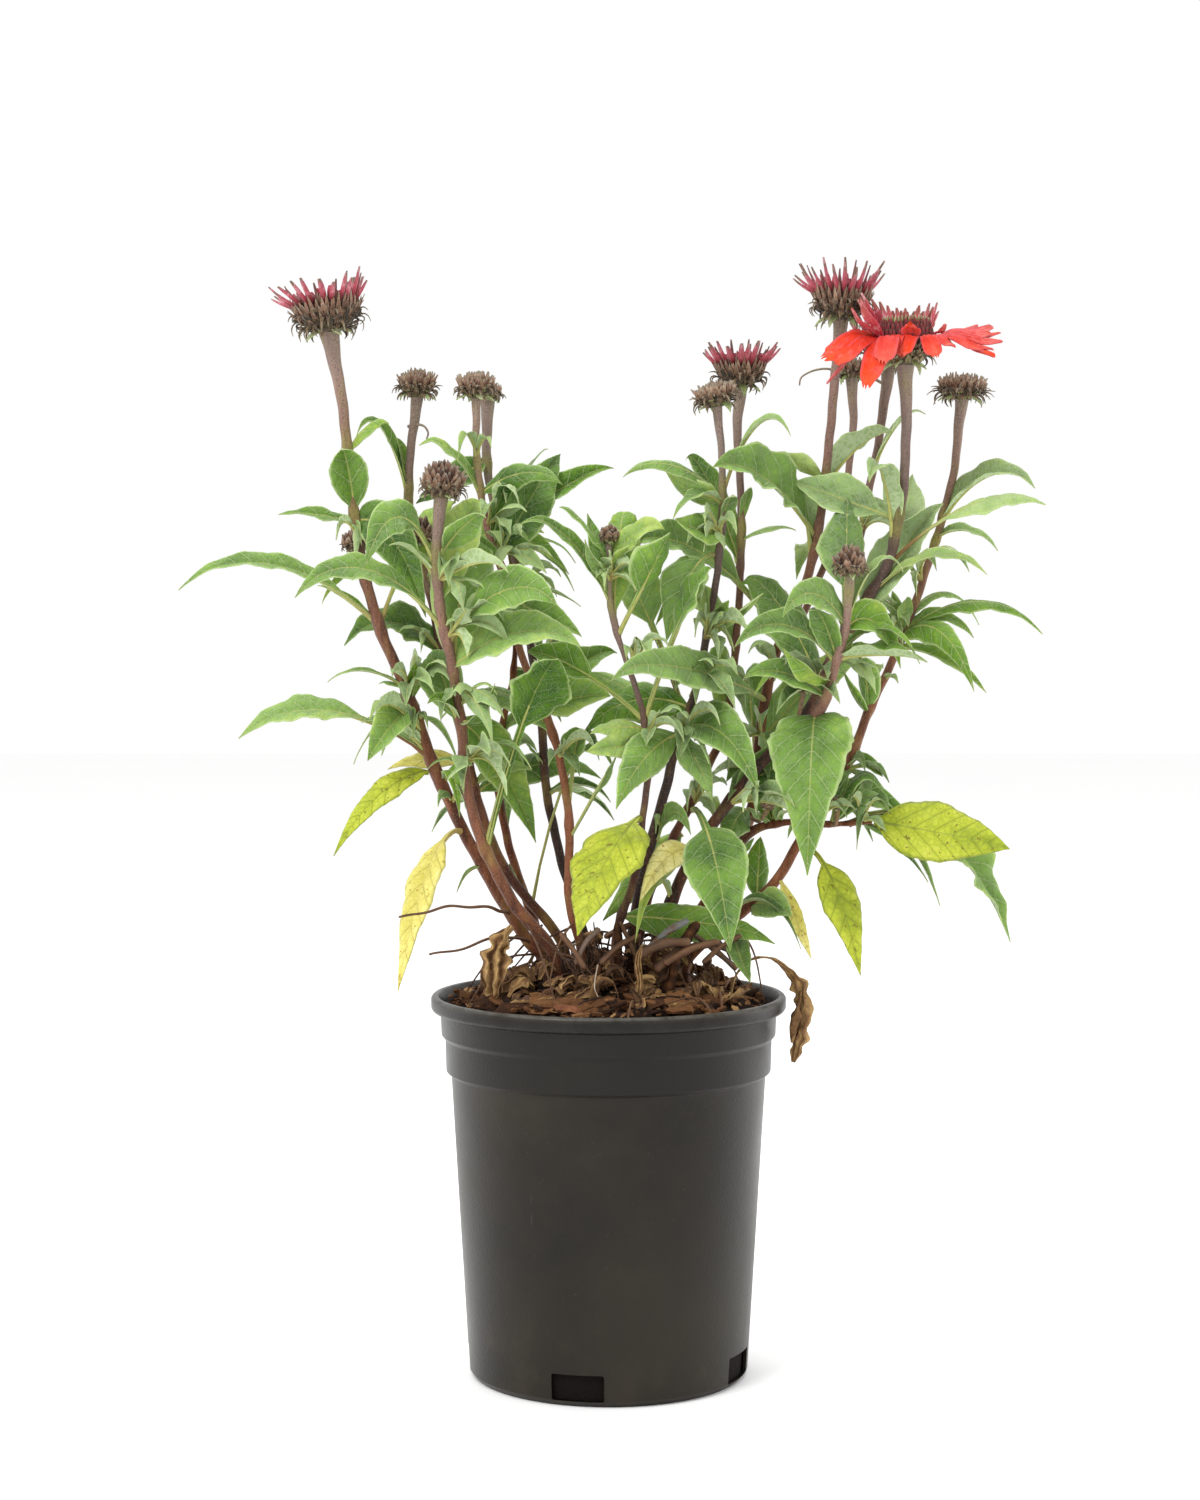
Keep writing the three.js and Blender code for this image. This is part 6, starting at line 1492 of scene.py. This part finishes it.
def chips(soup):
    """Bark on the compost: some thick, many flat, some large at the front, and small crumbs."""
    for i in range(9):
        n = 100 + 9 * i
        x, y = polar(16 + 46 * math.sqrt(chance(n + 3)), 2 * math.pi * chance(n + 2))
        tip = np.radians([between([-20, 20], n + 4), between([-22, 22], n + 5)])
        chip(soup, [x, y, soil_height(x, y) + 0.8], between([8, 17], n), between([4, 8], n + 1),
             3.2, 2 * math.pi * chance(n + 6), tip, n, 0.55)
    for i in range(92):
        n = 500 + 23 * i
        turn, r = 2 * math.pi * chance(n), 22 + 45 * math.sqrt(chance(n + 1))
        x, y = polar(r, turn)
        lie = turn + math.pi / 2 + between([-0.9, 0.9], n + 2)
        chip(soup, [x, y, soil_height(x, y) + between([1, 3.4], n + 3)], between([9, 22], n + 4),
             between([4, 9], n + 5), between([1.2, 2.6], n + 6), lie,
             np.radians([between([-24, 24], n + 7), between([-16, 16], n + 8)]), n,
             between([0.3, 0.85], n + 9))
    for i in range(30):
        n = 700 + 31 * i
        turn, r = math.radians(between([-162, -18], n)), between([46, 66], n + 1)
        x, y = polar(r, turn)
        chip(soup, [x, y, soil_height(x, y) + between([2.4, 4.4], n + 2)], between([14, 27], n + 3),
             between([7, 13], n + 4), between([1.6, 3], n + 5), between([-0.6, 0.6], n + 6),
             [between([0.15, 0.6], n + 7), between([-0.2, 0.2], n + 8)], n,
             between([0.22, 0.8], n + 9))
    for i in range(1150):
        n = 3000 + 71 * i
        size = 2.2 + 12 * chance(n) ** 2.6
        r = 74.6 * math.sqrt(chance(n + 1)) - (size / 2 if size > 4 else 0)
        turn = 2 * math.pi * chance(n + 2)
        x, y = polar(r, turn)
        steep = 0.9 if size < 6 else 0.4
        lift = (soil_height(x, y) + crumbs(x, y) + between([-0.3, 1.5], n + 3)
                + 1.6 * smooth(r, 56, 70))
        chip(soup, [x, y, lift], size, size * between([0.28, 0.7], n + 4),
             size * between([0.12, 0.26], n + 5), 2 * math.pi * chance(n + 6),
             [steep * (chance(n + 7) - 0.5) * 2, steep * (chance(n + 8) - 0.5) * 2], n,
             0.22 + 0.78 * chance(n + 9) ** 1.3)


def fibres(soup):
    """Fine roots and stalks that lie over the compost in low arches."""
    for i in range(120):
        n = 9000 + 37 * i
        turn = 2 * math.pi * chance(n)
        r = 66 * math.sqrt(chance(n + 1))
        length = between([8, 34], n + 2)
        head = 2 * math.pi * chance(n + 3)
        t = np.linspace(-0.5, 0.5, 9)
        x = r * math.cos(turn) + length * t * math.cos(head)
        y = r * math.sin(turn) + length * t * math.sin(head)
        bend = between([-5, 5], n + 4) * (t ** 2 - 0.25)
        x, y = x - bend * math.sin(head), y + bend * math.cos(head)
        out = np.hypot(x, y)
        keep = np.minimum(1, 73 / np.maximum(out, 1))
        x, y = x * keep, y * keep
        arch = between([0.6, 7], n + 5) * (1 - (2 * t) ** 2)
        z = [soil_height(a, b) + 0.6 for a, b in zip(x, y)] + arch
        soup.add(*tube(np.stack([x, y, z], 1), between([0.22, 0.5], n + 6), 4),
                 tone=0.2 + 0.6 * chance(n + 7))


def twigs(soup):
    """Short broken twigs that stand round the crown."""
    for i in range(64):
        n = 6100 + 29 * i
        turn, r = 2 * math.pi * chance(n), 34 * math.sqrt(chance(n + 1))
        x, y = r * math.cos(turn) - 4, 0.8 * r * math.sin(turn)
        foot = np.array([x, y, soil_height(x, y) - 1])
        lean = np.array([between([-0.8, 0.8], n + 2), between([-0.8, 0.8], n + 3), 1.0])
        tall = between([7, 24], n + 4)
        middle = foot + lean * tall * 0.55 + [between([-2, 2], n + 5), 0, 0]
        path, _, run = spline([foot, middle, foot + lean * [0.6, 0.6, 1] * tall], 2)
        soup.add(*tube(path, between([0.35, 0.85], n + 6) * (1 - 0.5 * run / run[-1]), 5),
                 tone=0.05 + 0.55 * chance(n + 7))


def shreds(soup):
    """Curled dry leaves heaped round the feet of the stems."""
    for i in range(84):
        n = 14000 + 41 * i
        turn, r = 2 * math.pi * chance(n), 6 + 52 * math.sqrt(chance(n + 1))
        x, y = r * math.cos(turn), r * math.sin(turn) + (6 if i % 2 else 0)
        heap = 22 * math.exp(-((x - 4) / 46) ** 2 - (y / 36) ** 2) * chance(n + 2)
        way = 2 * math.pi * chance(n + 3)
        reach = between([4, 9.5], n + 4)
        step = reach * np.array([math.cos(way), math.sin(way), between([-0.3, 0.6], n + 5)])
        middle = np.array([x, y, 1.5 + heap])
        rise = UP * between([1, 6], n + 6)
        route = [middle - step, middle - step * 0.3 + rise, middle + step * 0.5 + rise,
                 middle + step]
        for point in route:
            point[:2] *= min(1, 71 / math.hypot(point[0], point[1]))
        wide = between([4, 10], n + 7)
        across = [-math.sin(way), math.cos(way), between([-0.7, 0.7], n + 8)]
        scrap(soup, on_soil(route), [1.5, wide, wide * 0.8, 1.5], across, 0.45, n, 1.4,
              between([-0.4, 0.5], n + 9), 9, 0.85 * chance(n + 10) ** 1.6, 0.22)


def scrap(soup, route, widths, across, thick, seed, crumple=1.0, curl=0.25, cols=7, tone=0.5,
          pleats=0.0):
    """A dry, crumpled strip of leaf or bark through places, pleated along its length."""
    path, index, run = spline(route, 1.3)
    q = np.linspace(-1, 1, cols)
    half = np.maximum(np.interp(index, np.arange(len(widths)), widths) / 2, 0.3)
    along = unit(np.gradient(path, axis=0))
    side = np.asarray(unit(across))
    side = unit(side - (along @ side)[:, None] * along)
    normal = np.cross(side, along)
    twist = 0.5 * crumple * np.sin(run / 6 + seed)[:, None]
    side, normal = (side * np.cos(twist) + normal * np.sin(twist),
                    normal * np.cos(twist) - side * np.sin(twist))
    wave = np.sin(run[:, None] / 2.1 + 3 * q + seed) + 0.6 * np.sin(run[:, None] / 0.9 - 4 * q)
    ragged = 1 + 0.2 * np.sin(run / 1.3 + seed) * (1 + np.sin(run / 3.7))
    pleat = np.sin(np.pi * (2.5 * q + 0.4 * np.sin(run / 4 + seed)[:, None]))
    lift = 0.16 * crumple * np.minimum(half, 4)[:, None] * wave + curl * half[:, None] * q ** 2
    lift = lift + pleats * half[:, None] * pleat
    grid = (path[:, None] + side[:, None] * (half * ragged)[:, None, None] * q[None, :, None]
            + normal[:, None] * lift[..., None])
    body = thick / 2 * normal[:, None]
    # ridge is the height of the pleats, which dry_paint turns into painted light and shade
    ridge = np.broadcast_to(0.5 + 0.5 * pleat * (pleats > 0), lift.shape).ravel()
    soup.add(*both_faces(grid + body, grid - body), tone=tone, ridge=np.tile(ridge, 2))


def on_soil(route):
    """Places whose height is counted from the soil, as heights above the floor."""
    return [[x, y, z + soil_height(x, y)] for x, y, z in route]


# loose litter, as in the part: route, widths along it, direction across, how crumpled, how far
# the edges curl up, how pleated; "lies" counts the heights from the soil, "half" is half the
# thickness of a chip
LITTER = {
    "dead_leaf_rim": {"paint": "dead", "across": [0.9, -0.44, 0], "crumple": 1.0,
                      "curl": 0.3, "pleats": 0.3,
                      "route": [[56, -12, 175.5], [60, -12, 190], [66, -13, 196], [74, -14, 197],
                                [82, -15, 192], [88, -15, 184], [89.6, -15, 174], [87, -15, 154],
                                [85.6, -15, 148.5]],
                      "widths": [1.6, 1.3, 1.2, 1.2, 2.6, 7, 8.5, 6, 2]},
    "dead_leaf_left": {"paint": "dead", "across": [0.94, -0.3, 0.1], "crumple": 1.2,
                       "curl": 0.2, "pleats": 0.3,
                       "route": [[-51, -38, 175], [-53, -38, 190], [-51, -37, 201],
                                 [-48, -37, 209], [-44, -37, 214.5]],
                       "widths": [4, 11, 12.5, 9.5, 3]},
    "chip_straw": {"paint": "chip", "half": 1.1, "across": [0.5, -0.8, 0.25], "lies": True,
                   "crumple": 0.5, "curl": -0.15,
                   "route": [[-69, -10, 1.2], [-60, -17, 1.4], [-49, -24, 1.2]],
                   "widths": [4.5, 6.5, 4]},
    "chip_square": {"paint": "soil", "half": 1.2, "across": [0, -0.75, 0.66], "lies": True,
                    "crumple": 0.35, "curl": -0.06,
                    "route": [[-42, -42, 2.4], [-30, -44, 2.4]], "widths": [9, 9]},
    "chip_brick": {"paint": "brick", "half": 1.3, "across": [0, -0.85, 0.5], "lies": True,
                   "crumple": 0.6, "curl": -0.1,
                   "route": [[-27, -58, 1], [-20, -59, 2.2], [-12, -60, 1]], "widths": [5, 8, 5]},
}
# further dry leaves on the compost: places, widths, direction across, tone
SCRAPS = [
    [[[-9, -52, 1], [-7, -51, 7], [-3, -49, 12], [2, -48, 11]],
     [3, 7, 6, 2], [0.7, -0.7, 0.2], 0.35],
    [[[13, -48, 2], [14, -47, 11], [13, -45, 20], [15, -43, 27]],
     [2, 3.5, 3, 1], [0.9, -0.4, 0.2], 0.7],
    [[[-46, -44, 1], [-36, -47, 6], [-25, -46, 4], [-16, -47, 6]],
     [2, 5, 4, 1], [0.2, -0.8, 0.5], 0.8],
    [[[22, -56, 2], [31, -53, 3], [40, -50, 2]],
     [3, 7, 3], [0.3, -0.8, 0.5], 0.3],
    [[[50, -36, 2], [57, -31, 5], [62, -26, 5]],
     [3, 7, 4], [0.4, -0.8, 0.3], 0.8],
    [[[38, -30, 5], [42, -29, 8], [46, -27, 7]],
     [2, 6, 3], [0.4, -0.7, 0.5], 0.95],
    [[[12, -38, 5], [17, -37, 9], [21, -36, 8]],
     [2, 6, 2], [0.5, -0.6, 0.5], 0.9],
    [[[-58, 10, 2], [-50, 18, 7], [-42, 26, 6]],
     [3, 7, 3], [0.6, -0.7, 0.3], 0.5],
    [[[-20, 50, 2], [-8, 56, 7], [4, 58, 4]],
     [3, 7, 3], [0.1, 0.9, 0.3], 0.7],
    [[[40, 34, 2], [34, 44, 8], [26, 50, 6]],
     [3, 7, 3], [0.7, 0.7, 0.2], 0.45],
    [[[60, 8, 2], [64, 0, 4], [62, -9, 4]],
     [2, 5, 2], [0.9, 0.1, 0.3], 0.6],
]
# stubs of old stems, as in the part
STUBS = [
    [[4, 170, -24], [5, 192, -25], [4, 212, -26]], [[26, 168, -28], [33, 198, -29], [42, 212, -28]],
    [[12.5, 176, -4], [12.5, 198, -6], [13, 217, -8]],
    [[-6, 172, -26], [0, 197, -29], [9, 195, -34]],
]
STUB_RADII = [2.1, 2.9, 1.9, 1.0]
# two roots that leave stem s1 above the soil, as in the part
ROOTLETS = [[[-37, 203, -6], [-52, 205, -26], [-66, 200.5, -32], [-84, 196.5, -38]],
            [[-46, 216, -6], [-56, 218.8, -30], [-72, 219.5, -46], [-86, 217, -58],
             [-98, 214, -66]]]
# cut and broken stalks that lie across the crown: places, radius, how grey they are
STALKS = [[[[18.8, 199.5, -34], [37.4, 213, -31]], 1.7, 1.0],
          [[[14, 196.5, -36], [38.4, 202.5, -34]], 2.3, 0.1],
          [[[25.8, 192.5, -38], [51.9, 203, -34]], 1.7, 0.0],
          [[[14.6, 206, -30], [-4, 192.5, -34]], 1.3, 0.0],
          [[[-4, 209, -33], [-15.6, 192, -38]], 1.2, 0.3],
          [[[-22.6, 207, -36], [-11, 190, -42]], 1.3, 0.0],
          [[[37.9, 208, -20], [60.2, 190, -22]], 1.4, 0.2],
          [[[5.3, 212, -24], [14.6, 191, -32]], 1.1, 0.0],
          [[[42.6, 201, -28], [21.6, 189.3, -34]], 1.9, 0.0],
          [[[30, 209, -12], [56, 199, -6]], 1.5, 0.4],
          [[[-2, 205, -12], [26, 214, -16]], 1.6, 0.0],
          [[[44, 193, -30], [62, 206, -22]], 1.2, 0.0]]
WHITE_ROOT = [[-5, 192, -52], [-6, 187, -55], [-6.5, 181, -58], [-5, 177, -61]]


def bark_paint():
    p = Paint("bark_chips", IOR=1.4, Specular_IOR_Level=0.2)
    grain = p.noise(330, 3, 0.6)
    tone = p.attr("tone") + (grain - 0.5) * 0.45
    lit = p.ramp(tone, (0.02, "130c09"), (0.25, "2c1c14"), (0.5, "553622"), (0.75, "7e5636"),
                 (0.97, "b08a5c"))
    p.colour(lit)
    p.bump(grain + p.noise(1100, 2), 0.0009, 0.8)
    p.rough(0.88)
    return p.material


def dry_paint(name, dark, middle, light):
    p = Paint(name, IOR=1.4)
    grain = p.noise(300, 4, 0.65)
    # painted light and shade of the pleats: their crests lighter, their hollows darker
    tone = grain * 0.55 + p.attr("ridge") * 0.3
    tone = tone + p.attr("tone") * 0.3
    p.colour(p.ramp(tone, (0.3, dark), (0.58, middle), (0.88, light)))
    p.bump(grain, 0.0008, 0.8)
    p.rough(0.85)
    return p.material


def litter(paints):
    """The loose pieces of the part, and the dry leaves that only the looks have."""
    for i, (name, item) in enumerate(LITTER.items()):
        soup = Soup()
        route = on_soil(item["route"]) if item.get("lies") else item["route"]
        leafy = item["paint"] == "dead"
        thick, crumple, tone = (0.5, 1, 0.8) if leafy else (2.2 * item["half"], 0.5, 0.5)
        scrap(soup, route, item["widths"], item["across"], thick, i, item["crumple"] * crumple,
              item["curl"], 13, tone, item.get("pleats", 0.0))
        if name == "dead_leaf_rim":
            scrap(soup, [[89, -16, 182], [86, -17, 170], [84.5, -17, 158]], [1, 5, 2],
                  [0.5, -0.8, 0], 0.5, 5, 1.2, 0.5)
        soup.make(f"{name}_fine", paints[item["paint"]], item["paint"], [name], 50)
    soup = Soup()
    for i, (route, widths, across, tone) in enumerate(SCRAPS):
        scrap(soup, on_soil(route), widths, across, 0.5, i + 7, 1.3, 0.3, 9, tone, 0.3)
    shreds(soup)
    soup.make("dead_scraps", paints["dead"], "dead", [], 50)


def soil(bark, root):
    """The compost with its chips and stubs; then twigs, stalks, fibres and roots."""
    soup = Soup()
    soil_bed(soup)
    chips(soup)
    for route, r in zip(STUBS, STUB_RADII):
        path, _, run = spline([place(p) for p in route], 1.5)
        path = path + 0.25 * np.sin(run / 2.4)[:, None] * np.array([1, 0.6, 0])
        worn = np.sqrt(np.clip((run[-1] - run + 0.6) / 3.5, 0, 1))
        radius = r * (1.06 - 0.2 * run / run[-1]) * (1 + 0.07 * np.sin(run / 1.7)) * worn
        points, faces = tube(path, radius, 10, lambda turn: 0.09 * np.cos(3 * turn + 1))
        spin = np.arange(len(points)) * 0.63
        soup.add(points, faces, tone=0.34 + 0.16 * np.sin(spin) + 0.12 * np.sin(spin * 0.23))
    soup.make("compost", bark, "soil", ["soil"], 32)
    soup = Soup()
    fibres(soup)
    twigs(soup)
    path, _, run = spline([place(p) for p in WHITE_ROOT], 1)
    soup.add(*tube(path, 0.36 - 0.16 * run / run[-1], 6), tone=1.25)
    for i, ((foot, tip), r, grey) in enumerate(STALKS):
        foot, tip = place(foot), place(tip)
        middle = (foot + tip) / 2 + [0, 0, between([0.5, 3], i + 40)]
        path, _, run = spline([foot, middle, tip], 1)
        worn = np.sqrt(np.clip(np.minimum(run[-1] - run, run) + 0.25, 0, 1))
        points, faces = tube(path, r * worn * (1 + 0.1 * np.sin(run / 1.9 + i)), 9,
                             lambda turn: 0.1 * np.cos(3 * turn + 2))
        soup.add(points, faces, tone=0.5 + 0.2 * np.sin(np.arange(len(points)) * 0.7), grey=grey)
    for i, route in enumerate(ROOTLETS):
        path, _, run = spline([place(p) for p in route], 2)
        path[:, 2] += 0.5 * np.sin(run / 4 + i)
        soup.add(*tube(path, 0.9 - 0.35 * run / run[-1], 6), tone=0.62)
    for i in range(26):
        n = 700 + 13 * i
        name = ("s1", "s2", "s3", "s5", "s6", "s9", "s10", "s13", "s15")[i % 9]
        start = on_stem(name, between([194, 214], n))[0]
        turn = math.pi * (1.5 + 1.1 * (chance(n + 1) - 0.5) if i % 3 else 2 * chance(n + 1))
        end = start + [*polar(between([22, 58], n + 2), turn), 0]
        end *= min(1, 73 / math.hypot(end[0], end[1]))
        end[2] = soil_height(end[0], end[1]) + 1
        mid = (start + end) / 2 + [0, 0, between([2, 11], n + 3)]
        path, _, run = spline([start, mid, end], 2)
        soup.add(*tube(path, 0.62 - 0.3 * run / run[-1], 5), tone=0.4 + 0.35 * chance(n + 4))
    soup.make("rootlets", root, "soil", [])


def root_paint():
    p = Paint("rootlet_skin", IOR=1.4)
    tone = p.attr("tone") + p.noise(200, 2) * 0.3
    lit = p.ramp(tone, (0.25, "21150e"), (0.62, "4f3323"), (1.0, "8a6446"))
    lit = p.mix(p.attr("grey") * p.step(p.noise(260, 2), 0.3, 0.6), lit, "7f807c")
    p.colour(p.mix(p.step(tone, 1.3, 1.5), lit, "d8d0bd"))
    p.bump(p.noise(900, 2), 0.0003, 0.6)
    p.rough(0.7)
    return p.material


# ---- whole plant --------------------------------------------------------------------------

# leaves whose pale underside stays in front, by their place among all the leaves
UNDERSIDES = [99, 117]
# the share of its length that is stalk, where it is longer than in the part
LONG_STALKS = {124: 0.3}
# how light some of them are, from the deepest green to a yellowing one; partly their own colour and
# partly painted light, as some, such as 118, which stands edge-on in shade, are made lighter
TINTS = {leaf: tint for tint, leaves in {
    0.0: [23, 40], 0.05: [44], 0.1: [12, 51, 57, 61, 124], 0.15: [27, 30, 129],
    0.2: [29, 36, 43, 91, 120], 0.25: [54], 0.28: [89], 0.3: [0, 19, 58, 64, 65, 66, 84, 128],
    0.35: [56, 94, 98, 130], 0.4: [15, 18, 47, 71, 96, 121, 123], 0.45: [97, 119, 137],
    0.5: [3, 16, 70, 78, 135], 0.55: [99], 0.6: [5, 93, 113, 116], 0.7: [17, 48], 0.9: [67],
    1.0: [68], 1.1: [118]
}.items() for leaf in leaves}


def foliage(green, bark):
    """Each stem with its branches as one piece, and all their green leaves as another."""
    leaves = all_leaves()
    for trunk_name in [name for name in STEMS if "from" not in STEMS[name]]:
        number = trunk_name[1:]
        bars, blades = Soup(), Soup()
        for i, name in enumerate(STEMS):
            if trunk(name) == trunk_name:
                stem(bars, name, i)
        for i, (name, c, width, roll, stalk, young) in enumerate(leaves):
            if trunk(name) == trunk_name:
                leaf(blades, c, width, roll, LONG_STALKS.get(i, stalk), 17 + 13 * i,
                     tint=TINTS.get(i), young=young,
                     front=young < 1 and i not in UNDERSIDES)
        bars.make(f"stems_{number}", bark, "leaf", [f"stem_{number}"])
        if blades.count:
            blades.make(f"leaves_{number}", green, "leaf", [], 70)


def yellow_leaves(paints):
    """The yellowed leaves, each a piece of its own."""
    for i, (name, data) in enumerate(YELLOW.items()):
        stem_name, at, across, up, depth, width, lift, roll, *stalk = data
        stalk = stalk[0] if stalk else 0
        point, radius = on_stem(stem_name, at)
        level = STEMS[stem_name].get("level")
        away = np.array([1.0, 0, 0]) if level else unit(
            (place([across, up, depth]) - point) * [1, 1, 0])
        start = point + away * (1.2 if level else radius + YELLOW_GAP)
        c = placed_leaf(tree_of(name), start, lambda deeper: place([across, up, depth + deeper]),
                        lift, roll)
        soup = Soup()
        # the folded straw leaf gets a much lighter tint: painted light that lifts it out of the
        # shade it lies in
        leaf(soup, c, width, roll, stalk, 900 + 11 * i, fold=0.12, ripple=0.07,
             tint=0.95 if "folded" in name else 0.5, front=True)
        kind = "lime" if "lime" in name else "straw"
        soup.make(f"{name}_fine", paints[kind], kind, [name], 70)


# each lamp: name, place in metres, side in metres, watts
LAMPS = [["key", (-1.1, -1.3, 2.0), 0.9, 34], ["fill", (1.7, -1.1, 1.0), 1.2, 5],
         ["top", (0.1, 0.5, 2.0), 1.2, 18], ["side_right", (1.5, 0.5, 0.3), 0.8, 6],
         ["side_left", (-1.5, 0.5, 0.3), 0.8, 3]]
# the point that every lamp shines at, and half the side of the white floor, in metres
AIM = Vector((0, 0, 0.28))
FLOOR = 6.0


def studio():
    """Camera, white floor, white surroundings and lamps."""
    scene = bpy.context.scene
    camera = linked("camera", bpy.data.cameras.new("camera"))
    camera.location = (EYE["x"] * MM, -EYE["dist"] * MM, EYE["z"] * MM)
    camera.rotation_euler = (math.radians(90 - EYE["tilt"]), 0, 0)
    camera.data.lens = EYE["lens"]
    camera.data.sensor_width = EYE["sensor"]
    scene.camera = camera

    floor_mesh = bpy.data.meshes.new("floor")
    floor_mesh.from_pydata([(-FLOOR, -FLOOR, 0), (FLOOR, -FLOOR, 0), (FLOOR, FLOOR, 0),
                            (-FLOOR, FLOOR, 0)], [], [(0, 1, 2, 3)])
    paper = Paint("paper")
    paper.colour(paper.mix(paper.noise(3), rgb("fcfcfb", 1 / DEPTH), rgb("fafafa", 1 / DEPTH)))
    paper.rough(0.9)
    floor_mesh.materials.append(paper.material)
    floor = linked("floor", floor_mesh)

    world = bpy.data.worlds.new("studio")
    world.use_nodes = True
    sky = world.node_tree.nodes["Background"]
    sky.inputs["Color"].default_value = (1, 1, 1, 1)
    sky.inputs["Strength"].default_value = 1.0
    scene.world = world
    scene.view_settings.view_transform = "Standard"
    for name, where, size, watts in LAMPS:
        lamp = linked(name, bpy.data.lights.new(name, "AREA"))
        lamp.data.size = size
        lamp.data.energy = watts
        lamp.location = where
        lamp.rotation_euler = (AIM - lamp.location).to_track_quat("-Z", "Y").to_euler()


def build():
    studio()
    paints = {
        "lime": leaf_paint("leaf_lime", "7d9420", "bcc834", "dedc60", "c9d048", "b3be58",
                           "7f8d34", "8d993a", "9a7d38", "7a6a24"),
        "straw": leaf_paint("leaf_straw", "d2c648", "ece07a", "f6eea6", "ece088", "e4da8a",
                            "a9a24c", "d2c274", "a98d50", "a3803c"),
        "dead": dry_paint("dead_leaf", "38241a", "7d5a38", "caa66c"),
        "chip": dry_paint("chip_straw", "6e4c26", "a87d45", "cfab6c"),
        "brick": dry_paint("chip_brick", "553220", "8a5638", "b08050"),
        "soil": dry_paint("chip_square", "35231a", "5b4030", "7d5d43"),
    }
    green = leaf_paint("leaf_green", "2b560c", "6f9a26", "aac24a", "aecb88", "96b46c", "bccf8e",
                       "b7b86a", "84603c")
    pot(pot_paint())
    soil(bark_paint(), root_paint())
    litter(paints)
    bark = stem_paint()
    foliage(green, bark)
    yellow_leaves(paints)
    florets = head_paint()
    for name in HEADS:
        Head(name).build(florets)
    small_buds(florets, bark)
    crimson = ray_paint()
    for name in RAYS:
        upright_rays(name, crimson)
    open_rays(petal_paint())


build()
